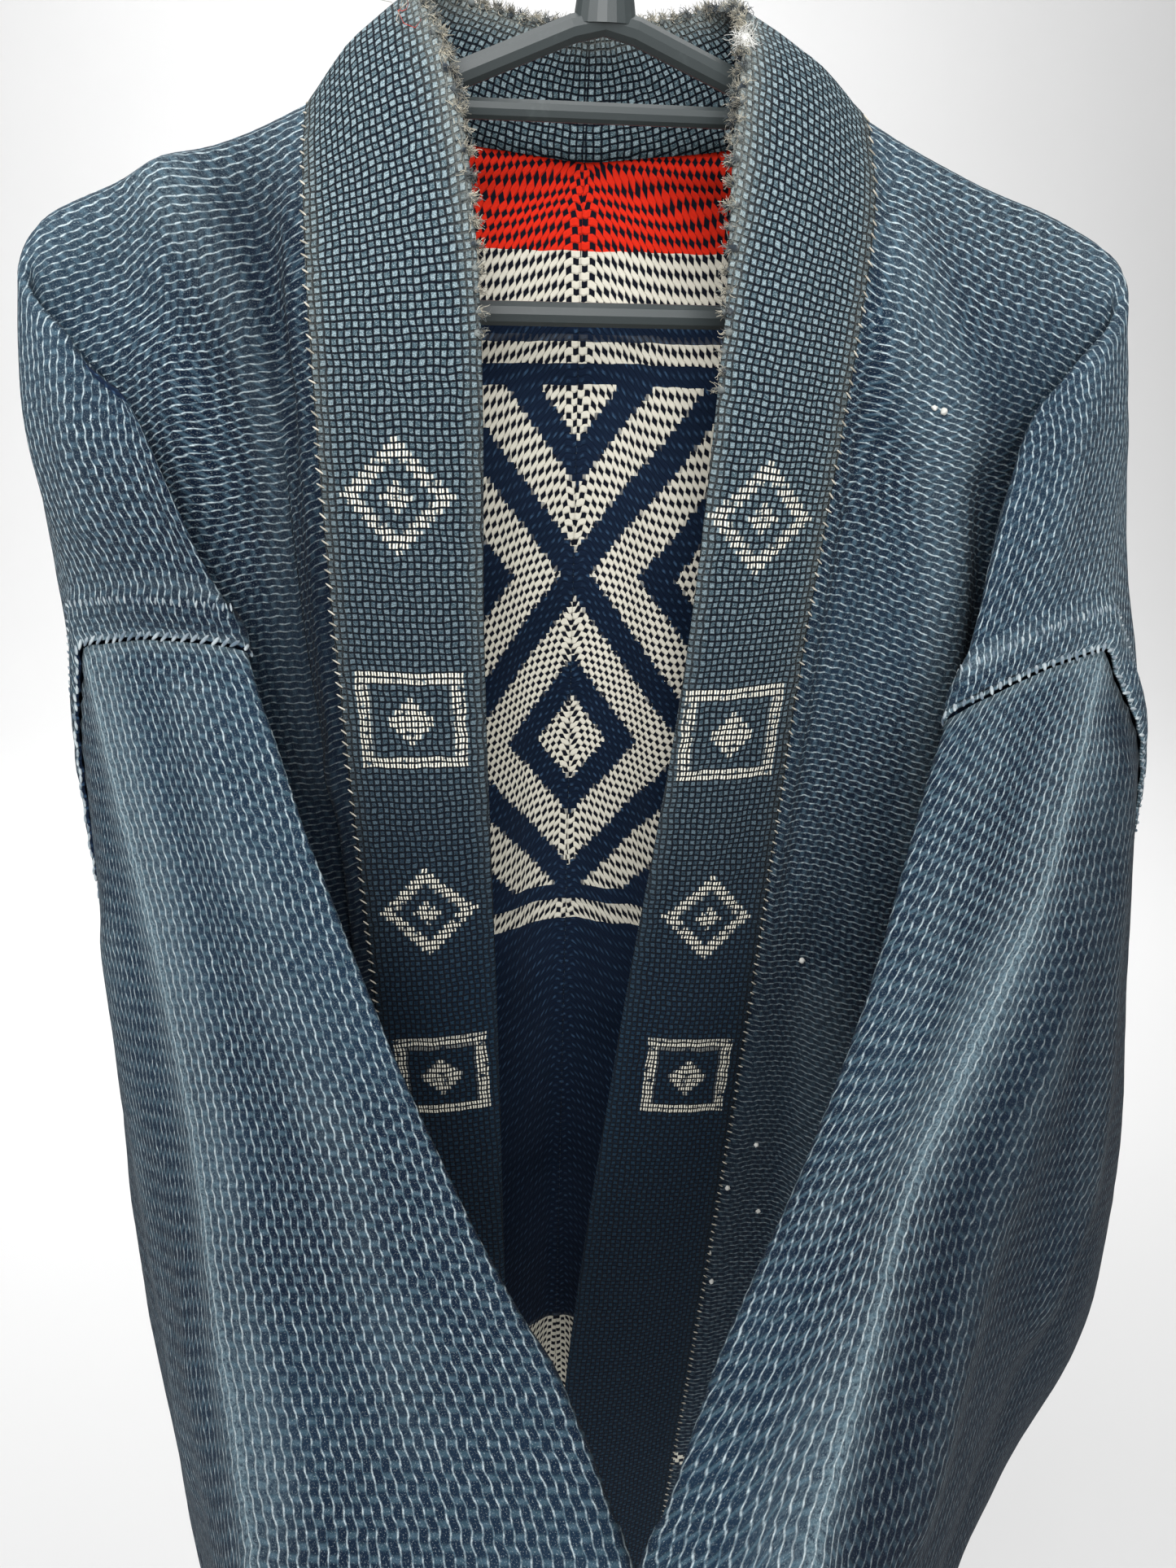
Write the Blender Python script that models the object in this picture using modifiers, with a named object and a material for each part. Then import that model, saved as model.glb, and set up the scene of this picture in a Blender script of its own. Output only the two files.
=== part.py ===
# Happi coat on a plastic hanger, cuffs held forward.
# Frame: +X to the right of someone who faces the coat, +Y behind it, +Z up.
# The origin is the hook's seat, where a rail carries the hanger.
# Tables and sizes are in centimetres, and loft and tube turn them into metres;
# walls and SEAM_GAP are in metres.

import math

import bmesh
import bpy
from mathutils import Vector

CM = 0.01

# Cloth
BODY_WALL = 0.0020
SLEEVE_WALL = 0.0020
COLLAR_WALL = 0.0030
SEAM_GAP = 0.0012
COAT_LENGTH = 79.0
ARMHOLE = 32.0
NECK_BACK = 4.0
SEAM_LEAD = 0.7
SIDE_GAP = 0.24
TIP_X = 20.4
LEFT_SQUEEZE = 0.30
LEFT_SKIRT = 0.86

# Hanger
ARM_RADIUS = 0.45
ARM_SLOPE = 0.393
ARM_APEX_Z = -7.9
BAR_Z = -17.45
TURN_RADIUS = 1.15
CROSSBAR_Z = -10.85
CROSSBAR_RADIUS = 0.35
NECK_TOP_Z = -5.6
NECK_TOP_RADIUS = 0.7
NECK_LOW_RADIUS = 1.1
HOOK_WIRE_RADIUS = 0.175
HOOK_INNER_RADIUS = 1.8
CLOTH_OVER_ARM = 0.70
NECK_FLATNESS = 0.55
WELD = 0.00001

# How far out along an arm the rows over it cross the quarter, the middle and
# the tip of a body half.
OVER_ARM_QUARTER = 11.6
OVER_ARM_MIDDLE = 14.2
OVER_ARM_TIP = 19.5

# A guide runs down the cloth. Its rows are: h, x, y, z, with h the height
# along the cloth below the shoulder line.
COLLAR_SEAM_RIGHT = [
    (79, 5.0, -3.6, -88.0),
    (58, 6.3, -3.5, -68.0),
    (38, 7.4, -3.5, -47.8),
    (20, 8.1, -3.5, -30.4),
    (8, 9.0, -3.1, -18.6),
    (3, 9.5, -1.9, -13.8),
    (1, 9.4, -0.9, -11.7),
    (0, 9.3, 0.0, -10.7),
]
COLLAR_FREE_RIGHT = [
    (79, -1.3, -4.6, -88.0),
    (58, -0.3, -4.5, -67.0),
    (38, 1.6, -4.5, -46.6),
    (20, 3.4, -4.5, -30.4),
    (8, 4.15, -4.0, -17.6),
    (3, 4.2, -3.2, -11.6),
    (1, 4.6, -1.8, -9.1),
    (0, 5.0, 0.2, -7.9),
]
COLLAR_SEAM_LEFT = [
    (79, -7.4, -3.5, -88.0),
    (58, -8.3, -3.5, -68.0),
    (38, -9.2, -3.5, -47.6),
    (20, -10.0, -3.5, -29.6),
    (8, -10.2, -3.4, -18.2),
    (3, -10.2, -2.1, -13.9),
    (1, -10.1, -0.95, -11.95),
    (0, -9.9, 0.0, -10.9),
]
COLLAR_FREE_LEFT = [
    (79, -3.2, -4.6, -88.0),
    (58, -3.8, -4.5, -68.0),
    (38, -4.2, -4.5, -46.6),
    (20, -4.6, -4.5, -29.4),
    (8, -4.6, -4.4, -17.8),
    (3, -5.0, -3.4, -11.9),
    (1, -5.7, -1.9, -9.1),
    (0, -6.4, 0.2, -7.7),
]
# From the shoulder round to the middle of the back neck, right side.
NECK_SEAM_BACK = [
    (1, 8.9, 1.0, -11.1),
    (2, 7.2, 3.0, -11.3),
    (3, 4.6, 4.8, -11.7),
    (4, 0.0, 5.7, -12.1),
]
NECK_FREE_RIGHT = [
    (1, 5.0, 2.0, -7.3),
    (2, 4.4, 3.6, -7.2),
    (3, 2.6, 4.6, -7.5),
    (4, 0.0, 5.0, -7.8),
]
NECK_FREE_LEFT = [
    (1, -6.2, 2.2, -7.1),
    (2, -5.3, 3.8, -7.1),
    (3, -2.9, 4.7, -7.5),
    (4, 0.0, 5.0, -7.8),
]

# Front of a body half, right side: beside the collar, the middle, the bend
# below the hanger's tip, and the fold that hangs past the tip.
FRONT_QUARTER = [
    (4, 11.7, -2.0, -15.9),
    (8, 11.5, -2.2, -19.9),
    (20, 11.0, -2.3, -31.6),
    (40, 10.5, -2.6, -51.4),
    (79, 9.8, -2.8, -90.0),
]
FRONT_MIDDLE = [
    (4, 14.3, -1.7, -16.9),
    (8, 14.5, -2.0, -20.9),
    (14, 14.6, -2.0, -26.9),
    (24, 14.5, -2.0, -36.8),
    (36, 14.1, -2.6, -48.8),
    (52, 13.6, -3.4, -65.0),
    (79, 13.2, -3.8, -92.0),
]
FRONT_BEND = [
    (3, 19.9, -0.72, -17.2),
    (6, 20.0, -0.5, -20.5),
    (10, 19.8, -0.2, -24.8),
    (20, 18.6, 0.6, -34.8),
    (28, 17.2, 0.9, -43.2),
    (36, 16.6, 1.1, -51.8),
    (50, 17.0, 1.2, -65.8),
    (79, 17.2, 1.2, -94.0),
]
FRONT_CREASE = [
    (0, 20.55, -0.35, -17.6),
    (1, 20.2, -1.25, -17.0),
    (3, 19.2, -2.0, -18.0),
    (6, 16.8, -2.9, -20.1),
    (7, 17.1, -2.2, -21.2),
    (9, 18.5, -1.5, -23.2),
    (13, 19.1, -0.9, -27.6),
    (20, 18.9, -0.3, -36.0),
    (28, 18.2, -0.1, -44.9),
    (32, 17.9, 0.1, -49.6),
    (36, 18.2, 0.0, -53.8),
    (42, 19.0, -0.6, -60.0),
    (50, 20.0, -1.0, -67.6),
    (79, 20.3, -0.8, -96.0),
]
FRONT_FOLD = [
    (0, 21.5, -0.9, -22.3),
    (1, 20.8, -1.9, -22.1),
    (3, 18.7, -3.3, -21.9),
    (6, 15.6, -4.3, -22.3),
    (7, 15.8, -3.6, -22.9),
    (9, 17.6, -2.5, -24.5),
    (13, 18.9, -2.0, -28.6),
    (36, 19.7, -1.0, -55.6),
    (42, 20.8, -2.2, -61.8),
    (50, 22.2, -2.8, -69.4),
    (79, 22.6, -2.4, -98.0),
]

# Back of a body half, right side, in the same order.
BACK_CENTRE = [
    (4, 0.0, 5.7, -12.1),
    (8, 0.0, 6.2, -16.1),
    (20, 0.0, 6.4, -28.0),
    (40, 0.0, 6.6, -48.0),
    (60, 0.0, 6.8, -68.0),
    (79, 0.0, 7.0, -87.0),
]
BACK_QUARTER = [
    (1, 10.4, 1.3, -12.3),
    (2, 9.4, 3.0, -12.9),
    (3, 7.8, 4.4, -13.6),
    (4, 6.0, 5.3, -14.2),
    (8, 5.6, 5.6, -17.6),
    (20, 5.2, 5.4, -29.2),
    (40, 5.0, 5.2, -49.0),
    (60, 5.0, 5.4, -69.0),
    (79, 4.8, 5.4, -88.2),
]
BACK_MIDDLE = [
    (2, 13.8, 1.9, -14.6),
    (4, 13.4, 3.2, -16.4),
    (8, 13.0, 4.6, -20.0),
    (20, 12.6, 6.2, -31.6),
    (40, 12.0, 6.8, -51.4),
    (60, 11.6, 7.0, -71.4),
    (79, 11.2, 7.2, -90.4),
]
BACK_BEND = [
    (3, 20.2, 1.0, -17.8),
    (6, 20.7, 1.5, -20.8),
    (12, 20.9, 2.2, -26.8),
    (20, 20.6, 2.8, -34.6),
    (32, 19.2, 3.2, -46.6),
    (50, 17.2, 3.0, -65.0),
    (79, 16.6, 2.8, -94.0),
]
BACK_CREASE = [
    (0, 20.55, -0.35, -17.6),
    (1, 20.95, 0.0, -18.2),
    (3, 21.4, 0.6, -19.8),
    (6, 21.8, 1.3, -22.6),
    (12, 22.2, 1.9, -28.8),
    (20, 22.1, 2.3, -37.2),
    (32, 21.0, 2.3, -48.8),
    (40, 21.3, 3.3, -56.4),
    (50, 20.6, 4.0, -66.6),
    (79, 20.4, 4.2, -96.0),
]
BACK_FOLD = [
    (0, 21.5, -0.9, -22.3),
    (1, 21.9, -0.4, -22.4),
    (3, 22.4, 0.4, -22.9),
    (6, 22.8, 1.1, -24.8),
    (12, 23.2, 1.5, -31.0),
    (20, 23.2, 1.6, -40.0),
    (32, 22.2, 1.2, -51.0),
    (40, 22.8, 3.6, -58.5),
    (50, 23.0, 5.4, -68.5),
    (79, 23.4, 5.8, -98.0),
]

# The side seam below the armhole.
SIDE_SEAM = [
    (36, 20.9, 0.0, -57.0),
    (42, 21.0, 0.6, -62.6),
    (52, 20.6, 1.4, -72.4),
    (79, 20.8, 1.8, -100.0),
]

# A sleeve's stations from the armhole to the cuff. Columns: the ridge, the
# inner edge and the bottom edge (x, y, z each), the lift of the face between
# the first two, and the belly's bulge.
SLEEVE_RIGHT = [
    (19.8, -5.4, -29.0, 12.9, -7.6, -31.0, 20.8, -1.0, -53.0, 0.6, 3.2),
    (16.1, -11.2, -35.2, 10.4, -11.7, -34.6, 21.5, -7.5, -57.5, 0.5, 3.2),
    (12.5, -15.6, -38.4, 7.7, -16.0, -38.2, 19.6, -12.6, -59.5, 0.5, 3.0),
    (8.6, -20.1, -40.9, 4.7, -20.3, -41.0, 15.0, -16.8, -60.5, 0.4, 2.8),
    (6.2, -23.9, -42.4, 1.8, -24.1, -42.9, 11.2, -20.3, -61.0, 0.4, 2.6),
    (3.0, -29.0, -44.8, -0.6, -27.9, -44.4, 6.8, -25.5, -61.2, 0.4, 2.2),
    (2.4, -30.4, -45.4, -1.8, -29.7, -45.0, 5.4, -27.0, -61.2, 0.4, 2.0),
]
SLEEVE_LEFT = [
    (-19.6, -2.4, -29.5, -13.1, -5.6, -28.7, -19.8, -0.5, -52.5, 0.6, 0.9),
    (-18.0, -6.2, -34.8, -11.7, -8.3, -32.2, -19.4, -4.8, -56.5, 0.6, 1.2),
    (-16.4, -9.8, -39.6, -9.3, -12.4, -37.4, -18.2, -9.3, -59.7, 0.5, 1.4),
    (-14.7, -14.8, -44.0, -6.6, -16.9, -41.9, -16.4, -14.0, -61.5, 0.5, 1.3),
    (-13.7, -18.8, -46.2, -4.4, -20.8, -44.4, -15.0, -17.8, -62.0, 0.5, 1.2),
    (-12.6, -22.5, -48.0, -2.7, -23.7, -45.9, -13.2, -21.3, -62.0, 0.5, 1.2),
    (-11.5, -26.7, -49.5, -1.2, -27.9, -48.1, -11.6, -25.5, -62.0, 0.5, 1.2),
]
# Where a sleeve's named points sit round its girth, as heights h on the
# front layer and then, past ARMHOLE, on the back layer.
RING_KEYS = (0.0, 1.0, 3.8, 7.3, 12.0, 20.0, 30.6, 32.0, 33.4, 43.0, 51.0, 58.0, 63.0)
GIRTH = 2 * ARMHOLE

# Heights of the rows of faces, and faces in each span of a row.
FRONT_ROWS = (79, 69, 59, 50, 42, 36, 32, 28, 23, 18, 14, 11, 9, 7.8, 6.9, 6, 4.5, 3, 1.8, 1, 0.5)
BACK_ROWS = (0, 0.5, 1, 2, 3, 4, 6, 9, 13, 18, 23, 28, 32, 36, 42, 50, 59, 69, 79)
RING_POINTS = sorted(
    [0] + [h for h in FRONT_ROWS if h <= ARMHOLE] + [GIRTH - h for h in BACK_ROWS if 0 < h < ARMHOLE]
)
SPANS = (1, 2, 2, 3, 2, 3, 3, 1)
SLEEVE_RINGS = 10

MATERIALS = {
    "sashiko_cotton": ((0.045, 0.070, 0.110), 0.95),
    "collar_basketweave": ((0.070, 0.105, 0.125), 0.95),
    "hanger_plastic": ((0.065, 0.080, 0.078), 0.45),
    "hook_steel": ((0.55, 0.55, 0.55), 0.30),
}


def clear_scene():
    for obj in list(bpy.data.objects):
        bpy.data.objects.remove(obj, do_unlink=True)


def make_material(name):
    colour, roughness = MATERIALS[name]
    material = bpy.data.materials.new(name)
    material.use_nodes = True
    shader = material.node_tree.nodes["Principled BSDF"]
    shader.inputs["Base Color"].default_value = (*colour, 1.0)
    shader.inputs["Roughness"].default_value = roughness
    shader.inputs["Metallic"].default_value = 1.0 if name == "hook_steel" else 0.0
    return material


def guide_point(guide, h):
    """Point of a guide at height h, on a smooth curve through its rows."""
    rows = sorted(guide)
    if h <= rows[0][0]:
        return Vector(rows[0][1:])
    if h >= rows[-1][0]:
        return Vector(rows[-1][1:])
    high = next(i for i, row in enumerate(rows) if row[0] >= h)
    low = high - 1

    def slope(i):
        before = rows[max(i - 1, 0)]
        after = rows[min(i + 1, len(rows) - 1)]
        return (Vector(after[1:]) - Vector(before[1:])) / (after[0] - before[0])

    start = Vector(rows[low][1:])
    end = Vector(rows[high][1:])
    step = rows[high][0] - rows[low][0]
    t = (h - rows[low][0]) / step
    return hermite(start, end, slope(low) * step, slope(high) * step, t)


def hermite(start, end, start_slope, end_slope, t):
    return (
        start * (2 * t**3 - 3 * t**2 + 1)
        + start_slope * (t**3 - 2 * t**2 + t)
        + end * (3 * t**2 - 2 * t**3)
        + end_slope * (t**3 - t**2)
    )


def row_through(controls, spans):
    """Smooth row through its control points, with spans[i] faces in span i."""
    knots = [0.0]
    for a, b in zip(controls, controls[1:]):
        knots.append(knots[-1] + max((b - a).length, 1e-6) ** 0.5)
    table = [(knot, *point) for knot, point in zip(knots, controls)]
    row = []
    for i, faces in enumerate(spans):
        for k in range(faces):
            row.append(guide_point(table, knots[i] + (knots[i + 1] - knots[i]) * k / faces))
    row.append(controls[-1].copy())
    return row


def left_x(h, x):
    """The left side hangs closer in past the tip, and below the armhole."""
    past_tip = max(x - TIP_X, 0)
    upper = x - past_tip * (1 - LEFT_SQUEEZE)
    share = min(max((h - ARMHOLE + 2) / 12, 0), 1)
    return -(upper * (1 - share) + x * LEFT_SKIRT * share)


def left_guide(guide):
    return [(h, left_x(h, x), y, z) for h, x, y, z in guide]


def arm_height(x):
    return ARM_APEX_Z - ARM_SLOPE * abs(x)


def over_arm(x, side):
    """Rows of cloth that lie over the hanger's arm; side is -1 front, 1 back."""
    rows = []
    for h in (0.0, 0.5, 1.0):
        angle = h * math.pi / 2
        y = side * CLOTH_OVER_ARM * math.sin(angle)
        z = arm_height(x) + CLOTH_OVER_ARM * math.hypot(1, ARM_SLOPE) * math.cos(angle)
        rows.append((h, x, y, z))
    return rows


def ring_controls(station):
    """Named points round a sleeve at one station, in the order of RING_KEYS."""
    ridge = Vector(station[0:3])
    inner = Vector(station[3:6])
    bottom = Vector(station[6:9])
    lift, bulge = station[9:11]
    outward = station[11]
    up = Vector((0, -0.5, 0.85))
    face = ridge.lerp(inner, 0.5) + up * lift
    under = inner.lerp(ridge, 0.55) + Vector((0, 0.9, -1.9))
    low = under.lerp(bottom, 0.42) - outward * 0.5 + Vector((0, -1.0, 0))
    belly_low = ridge.lerp(bottom, 0.74) + outward * bulge * 0.85
    belly = ridge.lerp(bottom, 0.45) + outward * bulge
    belly_top = ridge.lerp(bottom, 0.17) + outward * bulge * 0.72
    ridge_front = ridge + (face - ridge).normalized() * 0.9 + up * 0.12
    ridge_back = ridge + (belly_top - ridge).normalized() * 0.9
    bottom_front = bottom + (low - bottom).normalized() * 1.2 - outward * 0.5
    bottom_back = bottom + (belly_low - bottom).normalized() * 1.2 + outward * 0.5
    front_layer = [ridge, ridge_front, face, inner, under, low, bottom_front]
    back_layer = [bottom, bottom_back, belly_low, belly, belly_top, ridge_back]
    return front_layer + back_layer


def with_outward(stations, side):
    """Add to each station the level direction that points out of its belly."""
    result = []
    for i, station in enumerate(stations):
        before = Vector(stations[max(i - 1, 0)][0:3])
        after = Vector(stations[min(i + 1, len(stations) - 1)][0:3])
        along = after - before
        outward = Vector((-along.y * side, along.x * side, 0)).normalized()
        result.append((*station, outward))
    return result


def ring_point(controls, h):
    """Point at h round a closed ring of named points."""
    keys = [k - GIRTH for k in RING_KEYS] + list(RING_KEYS) + [k + GIRTH for k in RING_KEYS]
    table = [(key, *point) for key, point in zip(keys, controls * 3)]
    return guide_point(table, h)


class Sleeve:
    """A tube from the armhole to the cuff, through its stations."""

    def __init__(self, stations, side):
        self.controls = [ring_controls(s) for s in with_outward(stations, side)]

    def point(self, place, h):
        """place runs from 0 at the armhole to 1 at the cuff."""
        last = len(self.controls) - 1
        table = [(i / last, *ring_point(ring, h)) for i, ring in enumerate(self.controls)]
        return guide_point(table, place)

    def direction(self, h):
        return (self.point(1 / SLEEVE_RINGS, h) - self.point(0.0, h)).normalized()


def side_seam(side_name, sleeve, h):
    """Point of the side seam below the armhole."""
    turn = list if side_name == "right" else left_guide
    seam = [(ARMHOLE, *sleeve.point(0.0, ARMHOLE))]
    return guide_point(seam + turn(SIDE_SEAM), h)


def collar_guides(side_name):
    """Seam edge and free edge of one half of the collar, keyed by signed h."""
    if side_name == "right":
        seam, free = COLLAR_SEAM_RIGHT, COLLAR_FREE_RIGHT
        neck_seam, neck_free = NECK_SEAM_BACK, NECK_FREE_RIGHT
    else:
        seam, free = COLLAR_SEAM_LEFT, COLLAR_FREE_LEFT
        neck_seam, neck_free = left_guide(NECK_SEAM_BACK), NECK_FREE_LEFT
    seam_edge = [(-h, x, y, z) for h, x, y, z in seam] + neck_seam
    free_edge = [(-h, x, y, z) for h, x, y, z in free] + neck_free
    return seam_edge, free_edge


def collar_section(side_name, h):
    """Points across the collar from its free edge to its seam."""
    seam_edge, free_edge = collar_guides(side_name)
    seam = guide_point(seam_edge, h)
    free = guide_point(free_edge, h)
    middle = seam.lerp(free, 0.5)
    if h > -3:
        middle += (middle - Vector((0, middle.y, -14.0))).normalized() * 0.35
    else:
        middle += Vector((0, -0.18, 0))
    return row_through([free, middle, seam], (2, 2))


def body_row(side_name, sleeve, h):
    """Control points of one row of a body half; h is negative on the front."""
    turn = list if side_name == "right" else left_guide
    side = -1 if h < 0 else 1
    height = abs(h)
    if side < 0:
        quarter = over_arm(OVER_ARM_QUARTER, side) + FRONT_QUARTER
        middle = over_arm(OVER_ARM_MIDDLE, side) + FRONT_MIDDLE
        bend = over_arm(OVER_ARM_TIP, side) + FRONT_BEND
        crease, fold = FRONT_CREASE, FRONT_FOLD
    else:
        quarter = over_arm(OVER_ARM_QUARTER, side)[:1] + BACK_QUARTER
        middle = over_arm(OVER_ARM_MIDDLE, side) + BACK_MIDDLE
        bend = over_arm(OVER_ARM_TIP, side) + BACK_BEND
        crease, fold = BACK_CREASE, BACK_FOLD
    gap = SEAM_GAP / 2 / CM
    guides = [guide_point(turn(g), height) for g in (quarter, middle, bend, crease, fold)]
    section = collar_section(side_name, min(h, NECK_BACK))
    away = (section[-1] - section[-2]).normalized()
    if height <= 1:
        away = (guides[0] - section[-1]).normalized()
    if h < NECK_BACK:
        inner = section[-1] + away * 2 * gap
    else:
        start = guide_point(turn(BACK_CENTRE), height)
        start += away * (2 * gap if h == NECK_BACK else 0)
        away = Vector((guides[0].x, 0, 0)).normalized()
        inner = start + away * gap
    lead_in = inner + away * SEAM_LEAD
    if height < ARMHOLE:
        ring_h = height if side < 0 else GIRTH - height
        back_along = -sleeve.direction(ring_h)
        edge = sleeve.point(0.0, ring_h) + back_along * gap
    else:
        edge = side_seam(side_name, sleeve, height)
        back_along = (guides[-2 if height == ARMHOLE else -1] - edge).normalized()
        edge += back_along * SIDE_GAP
    lead_out = edge + back_along * SEAM_LEAD
    if side < 0 and 13 < height <= ARMHOLE:
        guides[-1] = guides[-2].lerp(lead_out, 0.6)
    return [inner, lead_in, *guides, lead_out, edge]


def loft(name, rows, wall, material, collection, closed=False):
    """A wall of cloth lofted through its rows of points."""
    width = len(rows[0])
    points = [p * CM for row in rows for p in row]
    faces = []
    steps = width if closed else width - 1
    for r in range(len(rows) - 1):
        for c in range(steps):
            d = (c + 1) % width
            a = r * width
            b = a + width
            faces.append((a + c, a + d, b + d, b + c))
    mesh = bpy.data.meshes.new(name)
    mesh.from_pydata(points, [], faces)
    mesh.materials.append(material)
    mesh.shade_smooth()
    obj = bpy.data.objects.new(name, mesh)
    collection.objects.link(obj)
    solid = obj.modifiers.new("Wall", "SOLIDIFY")
    solid.thickness = wall
    solid.offset = 0.0
    solid.use_quality_normals = True
    return obj


def build_body_half(side_name, sleeve, material, collection):
    rows = []
    for h in [-h for h in FRONT_ROWS] + list(BACK_ROWS):
        rows.append(row_through(body_row(side_name, sleeve, h), SPANS))
    return loft(f"body_{side_name}", rows, BODY_WALL, material, collection)


def build_sleeve(side_name, sleeve, material, collection):
    rows = []
    for i in range(SLEEVE_RINGS + 1):
        place = i / SLEEVE_RINGS
        rows.append([sleeve.point(place, h) for h in RING_POINTS])
    gap = SEAM_GAP / 2 / CM
    rows[0] = [p + sleeve.direction(h) * gap for p, h in zip(rows[0], RING_POINTS)]
    return loft(f"sleeve_{side_name}", rows, SLEEVE_WALL, material, collection, closed=True)


def build_collar(material, collection):
    heights = [-h for h in FRONT_ROWS] + [0, 0.5, 1, 1.5, 2, 2.5, 3, 3.5]
    rows = [collar_section("left", h) for h in heights]
    centre = collar_section("right", NECK_BACK)
    rows.append(centre)
    rows += [collar_section("right", h) for h in reversed(heights)]
    return loft("collar", rows, COLLAR_WALL, material, collection)


def tube(name, points, radius, collection, cyclic=False):
    """A round bar or wire along its points, as a mesh."""
    data = bpy.data.curves.new(name, "CURVE")
    data.dimensions = "3D"
    data.bevel_depth = radius * CM
    data.bevel_resolution = 3
    data.use_fill_caps = True
    spline = data.splines.new("POLY")
    spline.points.add(len(points) - 1)
    for slot, (x, z) in zip(spline.points, points):
        slot.co = (x * CM, 0, z * CM, 1)
    spline.use_cyclic_u = cyclic
    curve = bpy.data.objects.new(name + "_curve", data)
    collection.objects.link(curve)
    bpy.context.view_layer.update()
    graph = bpy.context.evaluated_depsgraph_get()
    mesh = bpy.data.meshes.new_from_object(curve.evaluated_get(graph))
    weld_caps(mesh)
    obj = bpy.data.objects.new(name, mesh)
    obj.matrix_world = curve.matrix_world
    collection.objects.link(obj)
    bpy.data.objects.remove(curve, do_unlink=True)
    return obj


def weld_caps(mesh):
    shape = bmesh.new()
    shape.from_mesh(mesh)
    bmesh.ops.remove_doubles(shape, verts=shape.verts, dist=WELD)
    bmesh.ops.recalc_face_normals(shape, faces=shape.faces)
    shape.to_mesh(mesh)
    shape.free()


def arc(centre, radius, start, end, steps):
    """Points on an arc in the hanger's plane; angles in degrees."""
    points = []
    for i in range(steps + 1):
        angle = math.radians(start + (end - start) * i / steps)
        points.append((centre[0] + radius * math.cos(angle), centre[1] + radius * math.sin(angle)))
    return points


def hanger_loop():
    """Centre line of the arms and the bar below, once round."""
    slope = math.degrees(math.atan(ARM_SLOPE))
    rise = TURN_RADIUS * (1 + 1 / math.cos(math.radians(slope)))
    centre_x = (ARM_APEX_Z - BAR_Z - rise) / ARM_SLOPE
    centre_z = BAR_Z + TURN_RADIUS
    right = arc((centre_x, centre_z), TURN_RADIUS, 90 - slope, -90, 7)
    left = [(-x, z) for x, z in reversed(right)]
    top_left = (-1.1, arm_height(1.1) - 0.03)
    top_right = (1.1, arm_height(1.1) - 0.03)
    top = (0, ARM_APEX_Z - 0.22)
    return [top, top_right] + right + left + [top_left]


def build_hanger(material, collection, cutters):
    frame = tube("hanger_frame", hanger_loop(), ARM_RADIUS, collection, cyclic=True)
    frame.data.materials.append(material)
    reach = (ARM_APEX_Z - CROSSBAR_Z) / ARM_SLOPE
    crossbar = tube("crossbar_join", [(-reach, CROSSBAR_Z), (reach, CROSSBAR_Z)], CROSSBAR_RADIUS, cutters)
    height = NECK_TOP_Z - ARM_APEX_Z + 0.3
    bpy.ops.mesh.primitive_cone_add(
        vertices=20,
        radius1=NECK_LOW_RADIUS * CM,
        radius2=NECK_TOP_RADIUS * CM,
        depth=height * CM,
        location=(0, 0, (NECK_TOP_Z - height / 2) * CM),
    )
    neck = bpy.context.active_object
    neck.name = "neck_join"
    neck.scale.y = NECK_FLATNESS
    for other in neck.users_collection:
        other.objects.unlink(neck)
    cutters.objects.link(neck)
    for extra in (crossbar, neck):
        extra.hide_render = True
        extra.display_type = "WIRE"
        join = frame.modifiers.new("Join", "BOOLEAN")
        join.operation = "UNION"
        join.object = extra
    frame.data.shade_smooth()
    return frame


def build_hook(material, collection):
    radius = HOOK_INNER_RADIUS + HOOK_WIRE_RADIUS
    centre = (0, -HOOK_INNER_RADIUS)
    bend = arc(centre, radius, 205, -58, 22)
    shank = [(0.62, -3.85), (0.28, -4.25), (0.06, -4.65), (0, -5.0), (0, NECK_TOP_Z + 0.03)]
    hook = tube("hanger_hook", bend + shank, HOOK_WIRE_RADIUS, collection)
    hook.data.materials.append(material)
    hook.data.shade_smooth()
    return hook


def main():
    clear_scene()
    coat = bpy.data.collections.new("happi_coat")
    cutters = bpy.data.collections.new("joins")
    bpy.context.scene.collection.children.link(coat)
    bpy.context.scene.collection.children.link(cutters)
    cotton = make_material("sashiko_cotton")
    basket = make_material("collar_basketweave")
    plastic = make_material("hanger_plastic")
    steel = make_material("hook_steel")
    sleeves = {"right": Sleeve(SLEEVE_RIGHT, 1), "left": Sleeve(SLEEVE_LEFT, -1)}
    for side_name, sleeve in sleeves.items():
        build_body_half(side_name, sleeve, cotton, coat)
        build_sleeve(side_name, sleeve, cotton, coat)
    build_collar(basket, coat)
    build_hanger(plastic, coat, cutters)
    build_hook(steel, coat)


main()
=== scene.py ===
# Used happi coat on its hanger, dressed over the fixed frame of solids.
# Sections are in centimetres and become metres where a mesh is made.

import math

import bmesh
import bpy
import numpy as np
from mathutils import Matrix, Vector, noise


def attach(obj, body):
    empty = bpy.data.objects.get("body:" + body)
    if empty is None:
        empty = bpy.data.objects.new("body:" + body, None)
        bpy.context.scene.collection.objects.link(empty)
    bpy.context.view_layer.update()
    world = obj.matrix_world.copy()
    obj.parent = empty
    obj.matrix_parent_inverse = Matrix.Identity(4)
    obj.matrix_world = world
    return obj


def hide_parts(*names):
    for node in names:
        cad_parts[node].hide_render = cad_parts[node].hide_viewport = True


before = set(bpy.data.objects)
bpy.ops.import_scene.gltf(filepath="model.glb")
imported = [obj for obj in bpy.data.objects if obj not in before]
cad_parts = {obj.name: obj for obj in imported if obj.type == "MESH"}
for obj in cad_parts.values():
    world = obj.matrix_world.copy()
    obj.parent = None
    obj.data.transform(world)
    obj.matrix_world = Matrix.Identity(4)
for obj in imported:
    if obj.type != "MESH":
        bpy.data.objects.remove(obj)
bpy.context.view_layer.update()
print("frame loaded")

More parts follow.
